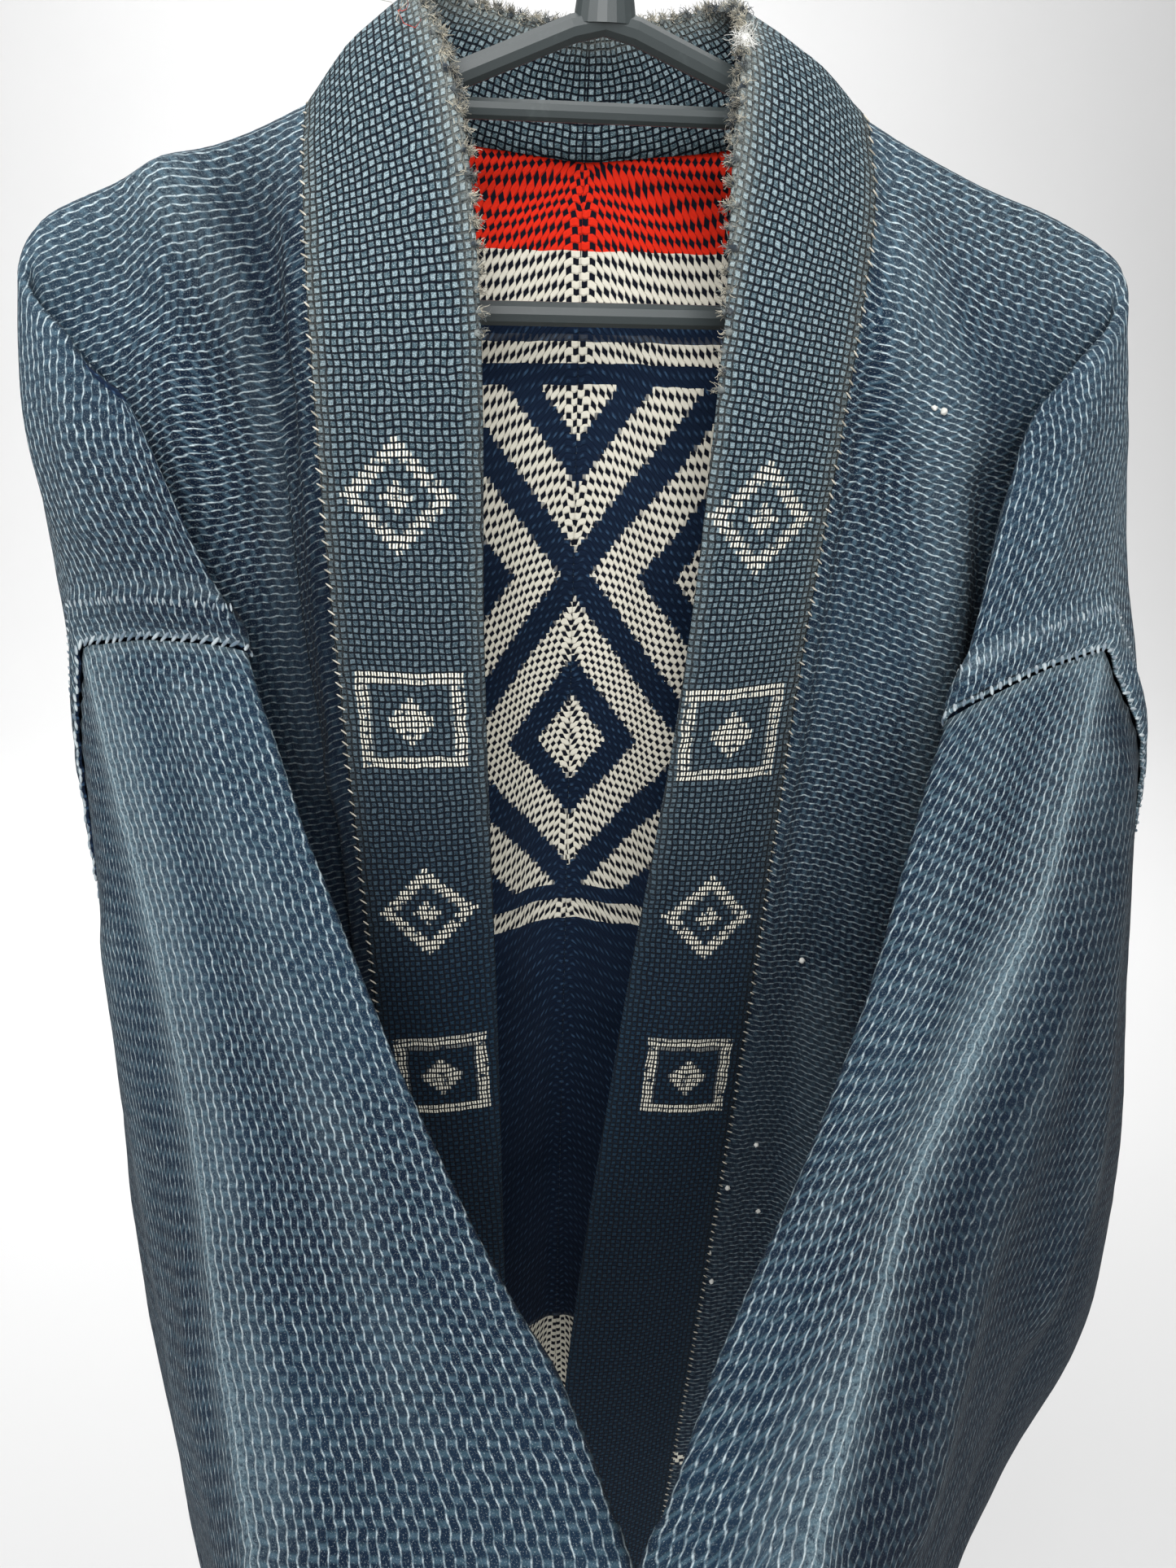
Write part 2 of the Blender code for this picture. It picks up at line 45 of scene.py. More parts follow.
cm = 0.01
up = Vector((0, 0, 1))


# camera at the photograph's place
camera = {"place": (-0.056, -0.472, -0.147), "yaw": 7.0, "pitch": 25.0, "roll": 1.7, "lens": 27.07}


def makeCamera(c):
    yaw, pitch, roll = (math.radians(c[k]) for k in ("yaw", "pitch", "roll"))
    ahead = Vector((math.sin(yaw), math.cos(yaw), 0))
    right = Vector((math.cos(yaw), -math.sin(yaw), 0))
    forward = ahead * math.cos(pitch) - up * math.sin(pitch)
    down = -ahead * math.sin(pitch) - up * math.cos(pitch)
    side = right * math.cos(roll) - down * math.sin(roll)
    low = right * math.sin(roll) + down * math.cos(roll)
    data = bpy.data.cameras.new("camera")
    data.sensor_fit = "VERTICAL"
    data.sensor_height = 36
    data.lens = c["lens"]
    data.clip_start = 0.01
    obj = bpy.data.objects.new("camera", data)
    bpy.context.scene.collection.objects.link(obj)
    turn = Matrix((side, -low, -forward)).transposed().to_4x4()
    obj.matrix_world = Matrix.Translation(c["place"]) @ turn
    bpy.context.scene.camera = obj


makeCamera(camera)


# smooth curves through rows of named points

def curveThrough(keys, points, wanted):
    keys = np.asarray(keys, float)
    points = np.asarray(points, float)
    wanted = np.clip(np.asarray(wanted, float), keys[0], keys[-1])
    gap = np.diff(keys)
    shape = (-1,) + (1,) * (points.ndim - 1)
    slopes = np.empty_like(points)
    slopes[1:-1] = (points[2:] - points[:-2]) / (keys[2:] - keys[:-2]).reshape(shape)
    slopes[0] = (points[1] - points[0]) / gap[0]
    slopes[-1] = (points[-1] - points[-2]) / gap[-1]
    i = np.clip(np.searchsorted(keys, wanted, side="right") - 1, 0, len(keys) - 2)
    step = gap[i].reshape(shape)
    t = ((wanted - keys[i]) / gap[i]).reshape(shape)
    return (
        points[i] * (2 * t**3 - 3 * t**2 + 1)
        + slopes[i] * step * (t**3 - 2 * t**2 + t)
        + points[i + 1] * (3 * t**2 - 2 * t**3)
        + slopes[i + 1] * step * (t**3 - t**2)
    )


def guidePoint(guide, h):
    rows = sorted(guide)
    return Vector(curveThrough([r[0] for r in rows], [r[1:] for r in rows], [h])[0])


def rowThrough(controls, spans):
    knots = [0.0]
    for a, b in zip(controls, controls[1:]):
        knots.append(knots[-1] + max((b - a).length, 1e-6) ** 0.5)
    wanted = [knots[i] + (knots[i + 1] - knots[i]) * k / n for i, n in enumerate(spans) for k in range(n)]
    return curveThrough(knots, [tuple(p) for p in controls], wanted + [knots[-1]])


def smoothStep(x, low, high):
    t = np.clip((np.asarray(x, float) - low) / (high - low), 0, 1)
    return t * t * (3 - 2 * t)


# collar edges: height along the cloth, then x, y, z
collarGuides = {
    "collarSeamRight": [
        (79, 5, -3.6, -88), (58, 6.3, -3.5, -68), (38, 7.4, -3.5, -47.8), (20, 8.1, -3.5, -30.4),
        (8, 9, -3.1, -18.6), (3, 9.5, -1.9, -13.8), (1, 9.4, -0.9, -11.7), (0, 9.3, 0, -10.7),
    ],
    "collarFreeRight": [
        (79, -1.3, -4.6, -88), (58, -0.3, -4.5, -67), (38, 1.6, -4.5, -46.6), (20, 3.4, -4.5, -30.4),
        (8, 4.15, -4, -17.6), (3, 4.2, -3.2, -11.6), (1, 4.6, -1.8, -9.1), (0, 5, 0.2, -7.9),
    ],
    "collarSeamLeft": [
        (79, -7.4, -3.5, -88), (58, -8.3, -3.5, -68), (38, -9.2, -3.5, -47.6), (20, -10, -3.5, -29.6),
        (8, -10.2, -3.4, -18.2), (3, -10.2, -2.1, -13.9), (1, -10.1, -0.95, -11.95), (0, -9.9, 0, -10.9),
    ],
    "collarFreeLeft": [
        (79, -3.2, -4.6, -88), (58, -3.8, -4.5, -68), (38, -4.2, -4.5, -46.6), (20, -4.6, -4.5, -29.4),
        (8, -4.6, -4.4, -17.8), (3, -5, -3.4, -11.9), (1, -5.7, -1.9, -9.1), (0, -6.4, 0.2, -7.7),
    ],
    "neckSeamBack": [
        (1, 8.9, 1, -11.1), (2, 7.2, 3, -11.3), (3, 4.6, 4.8, -11.7), (4, 0, 5.7, -12.1),
    ],
    "neckFreeRight": [
        (1, 5, 2, -7.3), (2, 4.4, 3.6, -7.2), (3, 2.6, 4.6, -7.5), (4, 0, 5, -7.8),
    ],
    "neckFreeLeft": [
        (1, -6.2, 2.2, -7.1), (2, -5.3, 3.8, -7.1), (3, -2.9, 4.7, -7.5), (4, 0, 5, -7.8),
    ],
}


# right body half: height along the cloth, then x, y, z
bodyGuides = {
    "frontQuarter": [
        (4, 11.7, -2, -15.9), (8, 11.5, -2.2, -19.9), (20, 11, -2.3, -31.6), (40, 10.5, -2.6, -51.4),
        (79, 9.8, -2.8, -90),
    ],
    "frontMiddle": [
        (4, 14.3, -1.7, -16.9), (8, 14.5, -2, -20.9), (14, 14.6, -2, -26.9), (24, 14.5, -2, -36.8),
        (36, 14.1, -2.6, -48.8), (52, 13.6, -3.4, -65), (79, 13.2, -3.8, -92),
    ],
    "frontBend": [
        (3, 19.9, -0.72, -17.2), (6, 20, -0.5, -20.5), (10, 19.8, -0.2, -24.8), (20, 18.6, 0.6, -34.8),
        (28, 17.2, 0.9, -43.2), (36, 16.6, 1.1, -51.8), (50, 17, 1.2, -65.8), (79, 17.2, 1.2, -94),
    ],
    "frontCrease": [
        (0, 20.55, -0.35, -17.6), (1, 20.2, -1.25, -17), (3, 19.2, -2, -18), (6, 16.8, -2.9, -20.1),
        (7, 17.1, -2.2, -21.2), (9, 18.5, -1.5, -23.2), (13, 19.1, -0.9, -27.6), (20, 18.9, -0.3, -36),
        (28, 18.2, -0.1, -44.9), (32, 17.9, 0.1, -49.6), (36, 18.2, 0, -53.8), (42, 19, -0.6, -60),
        (50, 20, -1, -67.6), (79, 20.3, -0.8, -96),
    ],
    "frontFold": [
        (0, 21.5, -0.9, -22.3), (1, 20.8, -1.9, -22.1), (3, 18.7, -3.3, -21.9), (6, 15.6, -4.3, -22.3),
        (7, 15.8, -3.6, -22.9), (9, 17.6, -2.5, -24.5), (13, 18.9, -2, -28.6), (36, 19.7, -1, -55.6),
        (42, 20.8, -2.2, -61.8), (50, 22.2, -2.8, -69.4), (79, 22.6, -2.4, -98),
    ],
    "backCentre": [
        (4, 0, 5.7, -12.1), (8, 0, 6.2, -16.1), (20, 0, 6.4, -28), (40, 0, 6.6, -48), (60, 0, 6.8, -68),
        (79, 0, 7, -87),
    ],
    "backQuarter": [
        (1, 10.4, 1.3, -12.3), (2, 9.4, 3, -12.9), (3, 7.8, 4.4, -13.6), (4, 6, 5.3, -14.2),
        (8, 5.6, 5.6, -17.6), (20, 5.2, 5.4, -29.2), (40, 5, 5.2, -49), (60, 5, 5.4, -69),
        (79, 4.8, 5.4, -88.2),
    ],
    "backMiddle": [
        (2, 13.8, 1.9, -14.6), (4, 13.4, 3.2, -16.4), (8, 13, 4.6, -20), (20, 12.6, 6.2, -31.6),
        (40, 12, 6.8, -51.4), (60, 11.6, 7, -71.4), (79, 11.2, 7.2, -90.4),
    ],
    "backBend": [
        (3, 20.2, 1, -17.8), (6, 20.7, 1.5, -20.8), (12, 20.9, 2.2, -26.8), (20, 20.6, 2.8, -34.6),
        (32, 19.2, 3.2, -46.6), (50, 17.2, 3, -65), (79, 16.6, 2.8, -94),
    ],
    "backCrease": [
        (0, 20.55, -0.35, -17.6), (1, 20.95, 0, -18.2), (3, 21.4, 0.6, -19.8), (6, 21.8, 1.3, -22.6),
        (12, 22.2, 1.9, -28.8), (20, 22.1, 2.3, -37.2), (32, 21, 2.3, -48.8), (40, 21.3, 3.3, -56.4),
        (50, 20.6, 4, -66.6), (79, 20.4, 4.2, -96),
    ],
    "backFold": [
        (0, 21.5, -0.9, -22.3), (1, 21.9, -0.4, -22.4), (3, 22.4, 0.4, -22.9), (6, 22.8, 1.1, -24.8),
        (12, 23.2, 1.5, -31), (20, 23.2, 1.6, -40), (32, 22.2, 1.2, -51), (40, 22.8, 3.6, -58.5),
        (50, 23, 5.4, -68.5), (79, 23.4, 5.8, -98),
    ],
    "sideSeam": [
        (36, 20.9, 0, -57), (42, 21, 0.6, -62.6), (52, 20.6, 1.4, -72.4), (79, 20.8, 1.8, -100),
    ],
}


# sleeves, armhole to cuff: ridge, inner edge, bottom edge, lift and bulge
sleeveStations = {
    "sleeveRight": [
        (19.8, -5.4, -29, 12.9, -7.6, -31, 20.8, -1, -53, 0.6, 3.2),
        (16.1, -11.2, -35.2, 10.4, -11.7, -34.6, 21.5, -7.5, -57.5, 0.5, 3.2),
        (12.5, -15.6, -38.4, 7.7, -16, -38.2, 19.6, -12.6, -59.5, 0.5, 3),
        (8.6, -20.1, -40.9, 4.7, -20.3, -41, 15, -16.8, -60.5, 0.4, 2.8),
        (6.2, -23.9, -42.4, 1.8, -24.1, -42.9, 11.2, -20.3, -61, 0.4, 2.6),
        (3, -29, -44.8, -0.6, -27.9, -44.4, 6.8, -25.5, -61.2, 0.4, 2.2),
        (2.4, -30.4, -45.4, -1.8, -29.7, -45, 5.4, -27, -61.2, 0.4, 2),
    ],
    "sleeveLeft": [
        (-19.6, -2.4, -29.5, -13.1, -5.6, -28.7, -19.8, -0.5, -52.5, 0.6, 0.9),
        (-18, -6.2, -34.8, -11.7, -8.3, -32.2, -19.4, -4.8, -56.5, 0.6, 1.2),
        (-16.4, -9.8, -39.6, -9.3, -12.4, -37.4, -18.2, -9.3, -59.7, 0.5, 1.4),
        (-14.7, -14.8, -44, -6.6, -16.9, -41.9, -16.4, -14, -61.5, 0.5, 1.3),
        (-13.7, -18.8, -46.2, -4.4, -20.8, -44.4, -15, -17.8, -62, 0.5, 1.2),
        (-12.6, -22.5, -48, -2.7, -23.7, -45.9, -13.2, -21.3, -62, 0.5, 1.2),
        (-11.5, -26.7, -49.5, -1.2, -27.9, -48.1, -11.6, -25.5, -62, 0.5, 1.2),
    ],
}


# the cut in centimetres; rows are heights along the cloth from the shoulder
cut = {
    "armhole": 32, "neckBack": 4, "seamLead": 0.7, "sideGap": 0.24, "seamGap": 0.12,
    "tipX": 20.4, "leftSqueeze": 0.30, "leftSkirt": 0.86,
    "armSlope": 0.393, "armApexZ": -7.9, "overArm": 0.70,
    "overArmX": (11.6, 14.2, 19.5),
    "frontRows": (79, 69, 59, 50, 42, 36, 32, 28, 23, 18, 14, 11, 9, 7.8, 6.9, 6, 4.5, 3, 1.8, 1, 0.5),
    "backRows": (0, 0.5, 1, 2, 3, 4, 6, 9, 13, 18, 23, 28, 32, 36, 42, 50, 59, 69, 79),
    "spans": (1, 2, 2, 3, 2, 3, 3, 1),
    "ringKeys": (0, 1, 3.8, 7.3, 12, 20, 30.6, 32, 33.4, 43, 51, 58, 63),
    "sleeveRings": 10,
}
girth = 2 * cut["armhole"]
bodyHeights = [-h for h in cut["frontRows"]] + list(cut["backRows"])
ringHeights = sorted(
    [0.0]
    + [h for h in cut["frontRows"] if h <= cut["armhole"]]
    + [girth - h for h in cut["backRows"] if 0 < h < cut["armhole"]]
)


def leftX(h, x):
    pastTip = max(x - cut["tipX"], 0)
    upper = x - pastTip * (1 - cut["leftSqueeze"])
    share = min(max((h - cut["armhole"] + 2) / 12, 0), 1)
    return -(upper * (1 - share) + x * cut["leftSkirt"] * share)


def leftGuide(guide):
    return [(h, leftX(h, x), y, z) for h, x, y, z in guide]


# cloth lies round the hanger's arm over its upper quarter turn
def overArm(x, side):
    rows = []
    for h in (0.0, 0.5, 1.0):
        angle = h * math.pi / 2
        z = cut["armApexZ"] - cut["armSlope"] * abs(x)
        z += cut["overArm"] * math.hypot(1, cut["armSlope"]) * math.cos(angle)
        rows.append((h, x, side * cut["overArm"] * math.sin(angle), z))
    return rows


def sleeveControls(stations, side):
    rings = []
    for i, s in enumerate(stations):
        ridge, inner, bottom = Vector(s[0:3]), Vector(s[3:6]), Vector(s[6:9])
        lift, bulge = s[9:11]
        along = Vector(stations[min(i + 1, len(stations) - 1)][0:3]) - Vector(stations[max(i - 1, 0)][0:3])
        out = Vector((-along.y * side, along.x * side, 0)).normalized()
        rise = Vector((0, -0.5, 0.85))
        face = ridge.lerp(inner, 0.5) + rise * lift
        under = inner.lerp(ridge, 0.55) + Vector((0, 0.9, -1.9))
        low = under.lerp(bottom, 0.42) - out * 0.5 + Vector((0, -1.0, 0))
        bellyLow = ridge.lerp(bottom, 0.74) + out * bulge * 0.85
        belly = ridge.lerp(bottom, 0.45) + out * bulge
        bellyTop = ridge.lerp(bottom, 0.17) + out * bulge * 0.72
        ridgeFront = ridge + (face - ridge).normalized() * 0.9 + rise * 0.12
        ridgeBack = ridge + (bellyTop - ridge).normalized() * 0.9
        bottomFront = bottom + (low - bottom).normalized() * 1.2 - out * 0.5
        bottomBack = bottom + (bellyLow - bottom).normalized() * 1.2 + out * 0.5
        ring = [ridge, ridgeFront, face, inner, under, low, bottomFront]
        ring += [bottom, bottomBack, bellyLow, belly, bellyTop, ridgeBack]
        rings.append([tuple(p) for p in ring])
    return np.array(rings)


def roundRing(keys, points, wanted):
    keys = np.asarray(keys, float)
    allKeys = np.concatenate([keys - girth, keys, keys + girth])
    return curveThrough(allKeys, np.concatenate([points] * 3), wanted)


def sleevePoint(rings, place, h):
    column = np.array([roundRing(cut["ringKeys"], ring, [h])[0] for ring in rings])
    return Vector(curveThrough(np.linspace(0, 1, len(rings)), column, [place])[0])


def sleeveAlong(rings, h):
    return (sleevePoint(rings, 1 / cut["sleeveRings"], h) - sleevePoint(rings, 0, h)).normalized()


def collarSection(side, h):
    if side == "right":
        seam, free = collarGuides["collarSeamRight"], collarGuides["collarFreeRight"]
        neckSeam, neckFree = collarGuides["neckSeamBack"], collarGuides["neckFreeRight"]
    else:
        seam, free = collarGuides["collarSeamLeft"], collarGuides["collarFreeLeft"]
        neckSeam, neckFree = leftGuide(collarGuides["neckSeamBack"]), collarGuides["neckFreeLeft"]
    seam = guidePoint([(-a, x, y, z) for a, x, y, z in seam] + neckSeam, h)
    free = guidePoint([(-a, x, y, z) for a, x, y, z in free] + neckFree, h)
    middle = seam.lerp(free, 0.5)
    if h > -3:
        middle += (middle - Vector((0, middle.y, -14.0))).normalized() * 0.35
    else:
        middle += Vector((0, -0.18, 0))
    return rowThrough([free, middle, seam], (2, 2))


def bodyControls(side, rings, h):
    turn = list if side == "right" else leftGuide
    facing = -1 if h < 0 else 1
    height = abs(h)
    quarterX, middleX, tipX = cut["overArmX"]
    if facing < 0:
        guides = [
            overArm(quarterX, -1) + bodyGuides["frontQuarter"],
            overArm(middleX, -1) + bodyGuides["frontMiddle"],
            overArm(tipX, -1) + bodyGuides["frontBend"],
            bodyGuides["frontCrease"], bodyGuides["frontFold"],
        ]
    else:
        guides = [
            overArm(quarterX, 1)[:1] + bodyGuides["backQuarter"],
            overArm(middleX, 1) + bodyGuides["backMiddle"],
            overArm(tipX, 1) + bodyGuides["backBend"],
            bodyGuides["backCrease"], bodyGuides["backFold"],
        ]
    guides = [guidePoint(turn(g), height) for g in guides]
    half = cut["seamGap"] / 2
    section = [Vector(p) for p in collarSection(side, min(h, cut["neckBack"]))]
    away = (section[-1] - section[-2]).normalized()
    if height <= 1:
        away = (guides[0] - section[-1]).normalized()
    if h < cut["neckBack"]:
        inner = section[-1] + away * 2 * half
    else:
        start = guidePoint(turn(bodyGuides["backCentre"]), height)
        start += away * (2 * half if h == cut["neckBack"] else 0)
        away = Vector((guides[0].x, 0, 0)).normalized()
        inner = start + away * half
    leadIn = inner + away * cut["seamLead"]
    if height < cut["armhole"]:
        ringH = height if facing < 0 else girth - height
        back = -sleeveAlong(rings, ringH)
        edge = sleevePoint(rings, 0, ringH) + back * half
    else:
        seam = [(cut["armhole"], *sleevePoint(rings, 0, cut["armhole"]))] + turn(bodyGuides["sideSeam"])
        edge = guidePoint(seam, height)
        back = (guides[-2 if height == cut["armhole"] else -1] - edge).normalized()
        edge += back * cut["sideGap"]
    leadOut = edge + back * cut["seamLead"]
    if facing < 0 and 13 < height <= cut["armhole"]:
        guides[-1] = guides[-2].lerp(leadOut, 0.6)
    return [inner, leadIn, *guides, leadOut, edge]


# folds, wear and the mesh of a sheet

def gridNormals(p, closed):
    across = np.roll(p, -1, 1) - np.roll(p, 1, 1) if closed else np.gradient(p, axis=1)
    normal = np.cross(across, np.gradient(p, axis=0))
    return normal / np.maximum(np.linalg.norm(normal, axis=-1, keepdims=True), 1e-9)


def foldHeight(p, folds):
    height = np.zeros(p.shape[:2])
    for line, width, rise in folds:
        line = curveThrough(range(len(line)), line, np.linspace(0, len(line) - 1, 6 * len(line)))
        near = np.full(height.shape, 1e9)
        for a, b in zip(line, line[1:]):
            t = np.clip(((p - a) @ (b - a)) / ((b - a) @ (b - a)), 0, 1)
            near = np.minimum(near, np.linalg.norm(p - a - t[..., None] * (b - a), axis=-1))
        height += rise * np.exp(-((near / width) ** 2))
    return height


def unevenness(u, v, size, seed):
    flat = [noise.noise(Vector((a / size, b / size, seed))) for a, b in zip(u.ravel(), v.ravel())]
    return np.array(flat).reshape(u.shape)


def slackness(piece, u, v, largeSeed, smallSeed):
    (largeRise, largeSize), (smallRise, smallSize) = piece["large"], piece["small"]
    large = largeRise * unevenness(u, v, largeSize, largeSeed)
    return large + smallRise * unevenness(u, v, smallSize, smallSeed)


def puckers(piece, fromSeam, along, seed):
    wave = np.sin(along * 4.6 + 2.2 * unevenness(fromSeam * 0, along, 2.2, seed))
    return piece["pucker"] * wave * np.exp(-fromSeam / 0.9)


def lengthAlong(p, axis):
    step = np.linalg.norm(np.diff(p, axis=axis), axis=-1)
    zero = np.zeros_like(np.take(step, [0], axis=axis))
    return np.cumsum(np.concatenate([zero, step], axis=axis), axis=axis)


def selectOnly(obj):
    bpy.ops.object.select_all(action="DESELECT")
    obj.select_set(True)
    bpy.context.view_layer.objects.active = obj


# facing is 1 where the grid's faces already look outward
def sheetMesh(name, p, maps, marks, wall, materials, closed=False, facing=1):
    rows, columns = p.shape[:2]
    steps = columns if closed else columns - 1
    faces, corners = [], []
    for r in range(rows - 1):
        for c in range(steps):
            d = (c + 1) % columns
            faces.append((r * columns + c, r * columns + d, (r + 1) * columns + d, (r + 1) * columns + c))
            corners += [(r, c), (r, c + 1), (r + 1, c + 1), (r + 1, c)]
    mesh = bpy.data.meshes.new(name)
    mesh.from_pydata((p.reshape(-1, 3) * cm).tolist(), [], faces)
    corners = np.array(corners)
    for mapName, (u, v) in maps.items():
        layer = mesh.uv_layers.new(name=mapName)
        pairs = np.stack([u[corners[:, 0], corners[:, 1]], v[corners[:, 0], corners[:, 1]]], -1)
        layer.data.foreach_set("uv", pairs.astype(np.float32).ravel())
    for markName, value in marks.items():
        layer = mesh.attributes.new(markName, "FLOAT", "POINT")
        layer.data.foreach_set("value", np.clip(value, 0, 1).astype(np.float32).ravel())
    for material in materials:
        mesh.materials.append(material)
    turned = facing < 0 and len(materials) > 1
    mesh.polygons.foreach_set("material_index", [int(turned)] * len(mesh.polygons))
    mesh.shade_smooth()
    obj = bpy.data.objects.new(name, mesh)
    bpy.context.scene.collection.objects.link(obj)
    selectOnly(obj)
    solid = obj.modifiers.new("wall", "SOLIDIFY")
    solid.thickness = wall * cm
    solid.offset = 0
    solid.use_quality_normals = True
    solid.material_offset = -1 if turned else len(materials) - 1
    bpy.ops.object.modifier_apply(modifier="wall")
    return obj


print("sections ready")


# materials; every pattern is laid out in the cloth's own centimetres

def rgb(r, g, b):
    linear = []
    for v in (r / 255, g / 255, b / 255):
        linear.append(v / 12.92 if v <= 0.04045 else ((v + 0.055) / 1.055) ** 2.4)
    return (*linear, 1)


class Tree:
    def __init__(self, name, roughness=0.9, metallic=0, sheen=0):
        self.material = bpy.data.materials.new(name)
        self.material.use_nodes = True
        self.tree = self.material.node_tree
        self.shader = self.tree.nodes["Principled BSDF"]
        self.shader.inputs["Roughness"].default_value = roughness
        self.shader.inputs["Metallic"].default_value = metallic
        self.shader.inputs["Sheen Weight"].default_value = sheen
        self.shader.inputs["Specular IOR Level"].default_value = 0.12 if roughness > 0.7 else 0.5

    def plug(self, value, socket):
        if hasattr(value, "is_output"):
            self.tree.links.new(value, socket)
        elif isinstance(value, tuple):
            socket.default_value = rgb(*value)
        else:
            socket.default_value = value

    def add(self, kind, **values):
        node = self.tree.nodes.new(kind)
        for key, value in values.items():
            self.plug(value, node.inputs[key])
        return node

    def math(self, what, a, b=0.0):
        node = self.tree.nodes.new("ShaderNodeMath")
        node.operation = what
        self.plug(a, node.inputs[0])
        self.plug(b, node.inputs[1])
        return node.outputs[0]

    def plus(self, a, b):
        return self.math("ADD", a, b)

    def less(self, a, b):
        return self.math("SUBTRACT", a, b)

    def times(self, a, b):
        return self.math("MULTIPLY", a, b)

    def over(self, a, b):
        return self.math("DIVIDE", a, b)

    def most(self, a, b):
        return self.math("MAXIMUM", a, b)

    def swing(self, a, reach):
        return self.math("PINGPONG", a, reach)

    def snap(self, a, step):
        return self.math("SNAP", a, step)

    def rest(self, a, b):
        return self.math("FLOORED_MODULO", a, b)

    def whole(self, a):
        return self.math("FLOOR", a)

    def size(self, a):
        return self.math("ABSOLUTE", a)

    def sine(self, a):
        return self.math("SINE", a)

    def flip(self, a):
        return self.less(1.0, a)

    def step(self, value, low, high, start=0.0, end=1.0):
        node = self.tree.nodes.new("ShaderNodeMapRange")
        node.interpolation_type = "SMOOTHSTEP"
        for v, socket in zip((value, low, high, start, end), node.inputs):
            self.plug(v, socket)
        return node.outputs[0]

    def between(self, value, low, high, soft=0.05):
        risen = self.step(value, low - soft, low + soft)
        return self.times(risen, self.below(value, high, soft))

    def below(self, value, high, soft=0.05):
        return self.step(value, high - soft, high + soft, 1.0, 0.0)

    def mix(self, share, a, b):
        node = self.tree.nodes.new("ShaderNodeMix")
        node.data_type = "RGBA"
        self.plug(share, node.inputs[0])
        self.plug(a, node.inputs[6])
        self.plug(b, node.inputs[7])
        return node.outputs[2]

    def map(self, name):
        node = self.tree.nodes.new("ShaderNodeUVMap")
        node.uv_map = name
        return node.outputs[0], self.axis(node.outputs[0], 0), self.axis(node.outputs[0], 1)

    def noise(self, vector, scale, detail=2.0, roughness=0.5):
        node = self.add("ShaderNodeTexNoise", Scale=scale, Detail=detail, Roughness=roughness)
        self.plug(vector, node.inputs["Vector"])
        return node.outputs["Fac"]

    def place(self):
        return self.tree.nodes.new("ShaderNodeTexCoord").outputs["Object"]

    def axis(self, place, number):
        parts = self.tree.nodes.new("ShaderNodeSeparateXYZ")
        self.tree.links.new(place, parts.inputs[0])
        return parts.outputs[number]

    def attribute(self, name):
        node = self.tree.nodes.new("ShaderNodeAttribute")
        node.attribute_name = name
        return node.outputs["Fac"]

    def bump(self, height, strength, distance):
        node = self.add("ShaderNodeBump", Strength=strength, Distance=distance, Height=height)
        self.plug(node.outputs[0], self.shader.inputs["Normal"])

    def colour(self, value):
        self.plug(value, self.shader.inputs["Base Color"])


# quilted cotton: colours from 0 to 255, lengths along the cloth, lowHeight and bump in metres
sashiko = {
    "rowPitch": 0.295, "cellLength": 0.62, "sway": 0.02,
    "darkCell": (7, 22, 40), "paleCell": (24, 44, 62),
    "bridge": (44, 68, 84), "sleeveBridge": (62, 88, 100), "sleeveRidge": (226, 234, 236),
    "darkRib": (78, 104, 120), "paleRib": (210, 226, 232),
    "worn": (136, 160, 170), "fleck": (196, 210, 214),
    "inside": (14, 28, 48), "insidePatch": (24, 38, 60), "insideFleck": (62, 90, 120),
    "lowHeight": (-0.60, -0.14), "lowShade": 0.62, "sleeveShade": 0.12,
    # painted shade colours: one darkens the lower cloth, the next darkens the deep places
    "shadow": (4, 18, 34), "paintedShade": (4, 14, 28),
    "red": (250, 52, 30), "darkRed": (196, 32, 20),
    "cream": (250, 246, 230), "darkCream": (204, 198, 178), "dot": (20, 24, 36),
    "patchScale": 9.0, "fibreScale": 9.0, "speckScale": 4.0, "strandScale": 22.0, "waver": (0.9, 0.16),
    "bump": (0.7, 0.0008), "printStep": 0.155, "zigzagRise": 2.4, "zigzagHalf": 0.35,
    "redBand": (9.0, 15.1), "creamBand": (15.1, 17.3), "designHalf": 12.4, "border": (13.5, 14.5),
    "design": (18.6, 47.6), "lattice": (20.6, 45.6), "designWidth": 6.2, "designHeight": 8.3,
    "hemBand": (77.6, 84.5), "frontHem": 76.5,
    "diamondCore": 0.27, "diamondBands": ((0.52, 0.86), (1.12, 1.46)), "diamondCorner": 1.73,
}


def weaveCells(t, u, v, pitch, length):
    row = t.whole(t.over(v, pitch))
    half = t.times(t.rest(row, 2.0), 0.5)
    across = t.swing(t.plus(t.over(u, length), half), 0.5)
    down = t.swing(t.over(v, pitch), 0.5)
    return t.times(across, 2.0), t.times(down, 2.0)


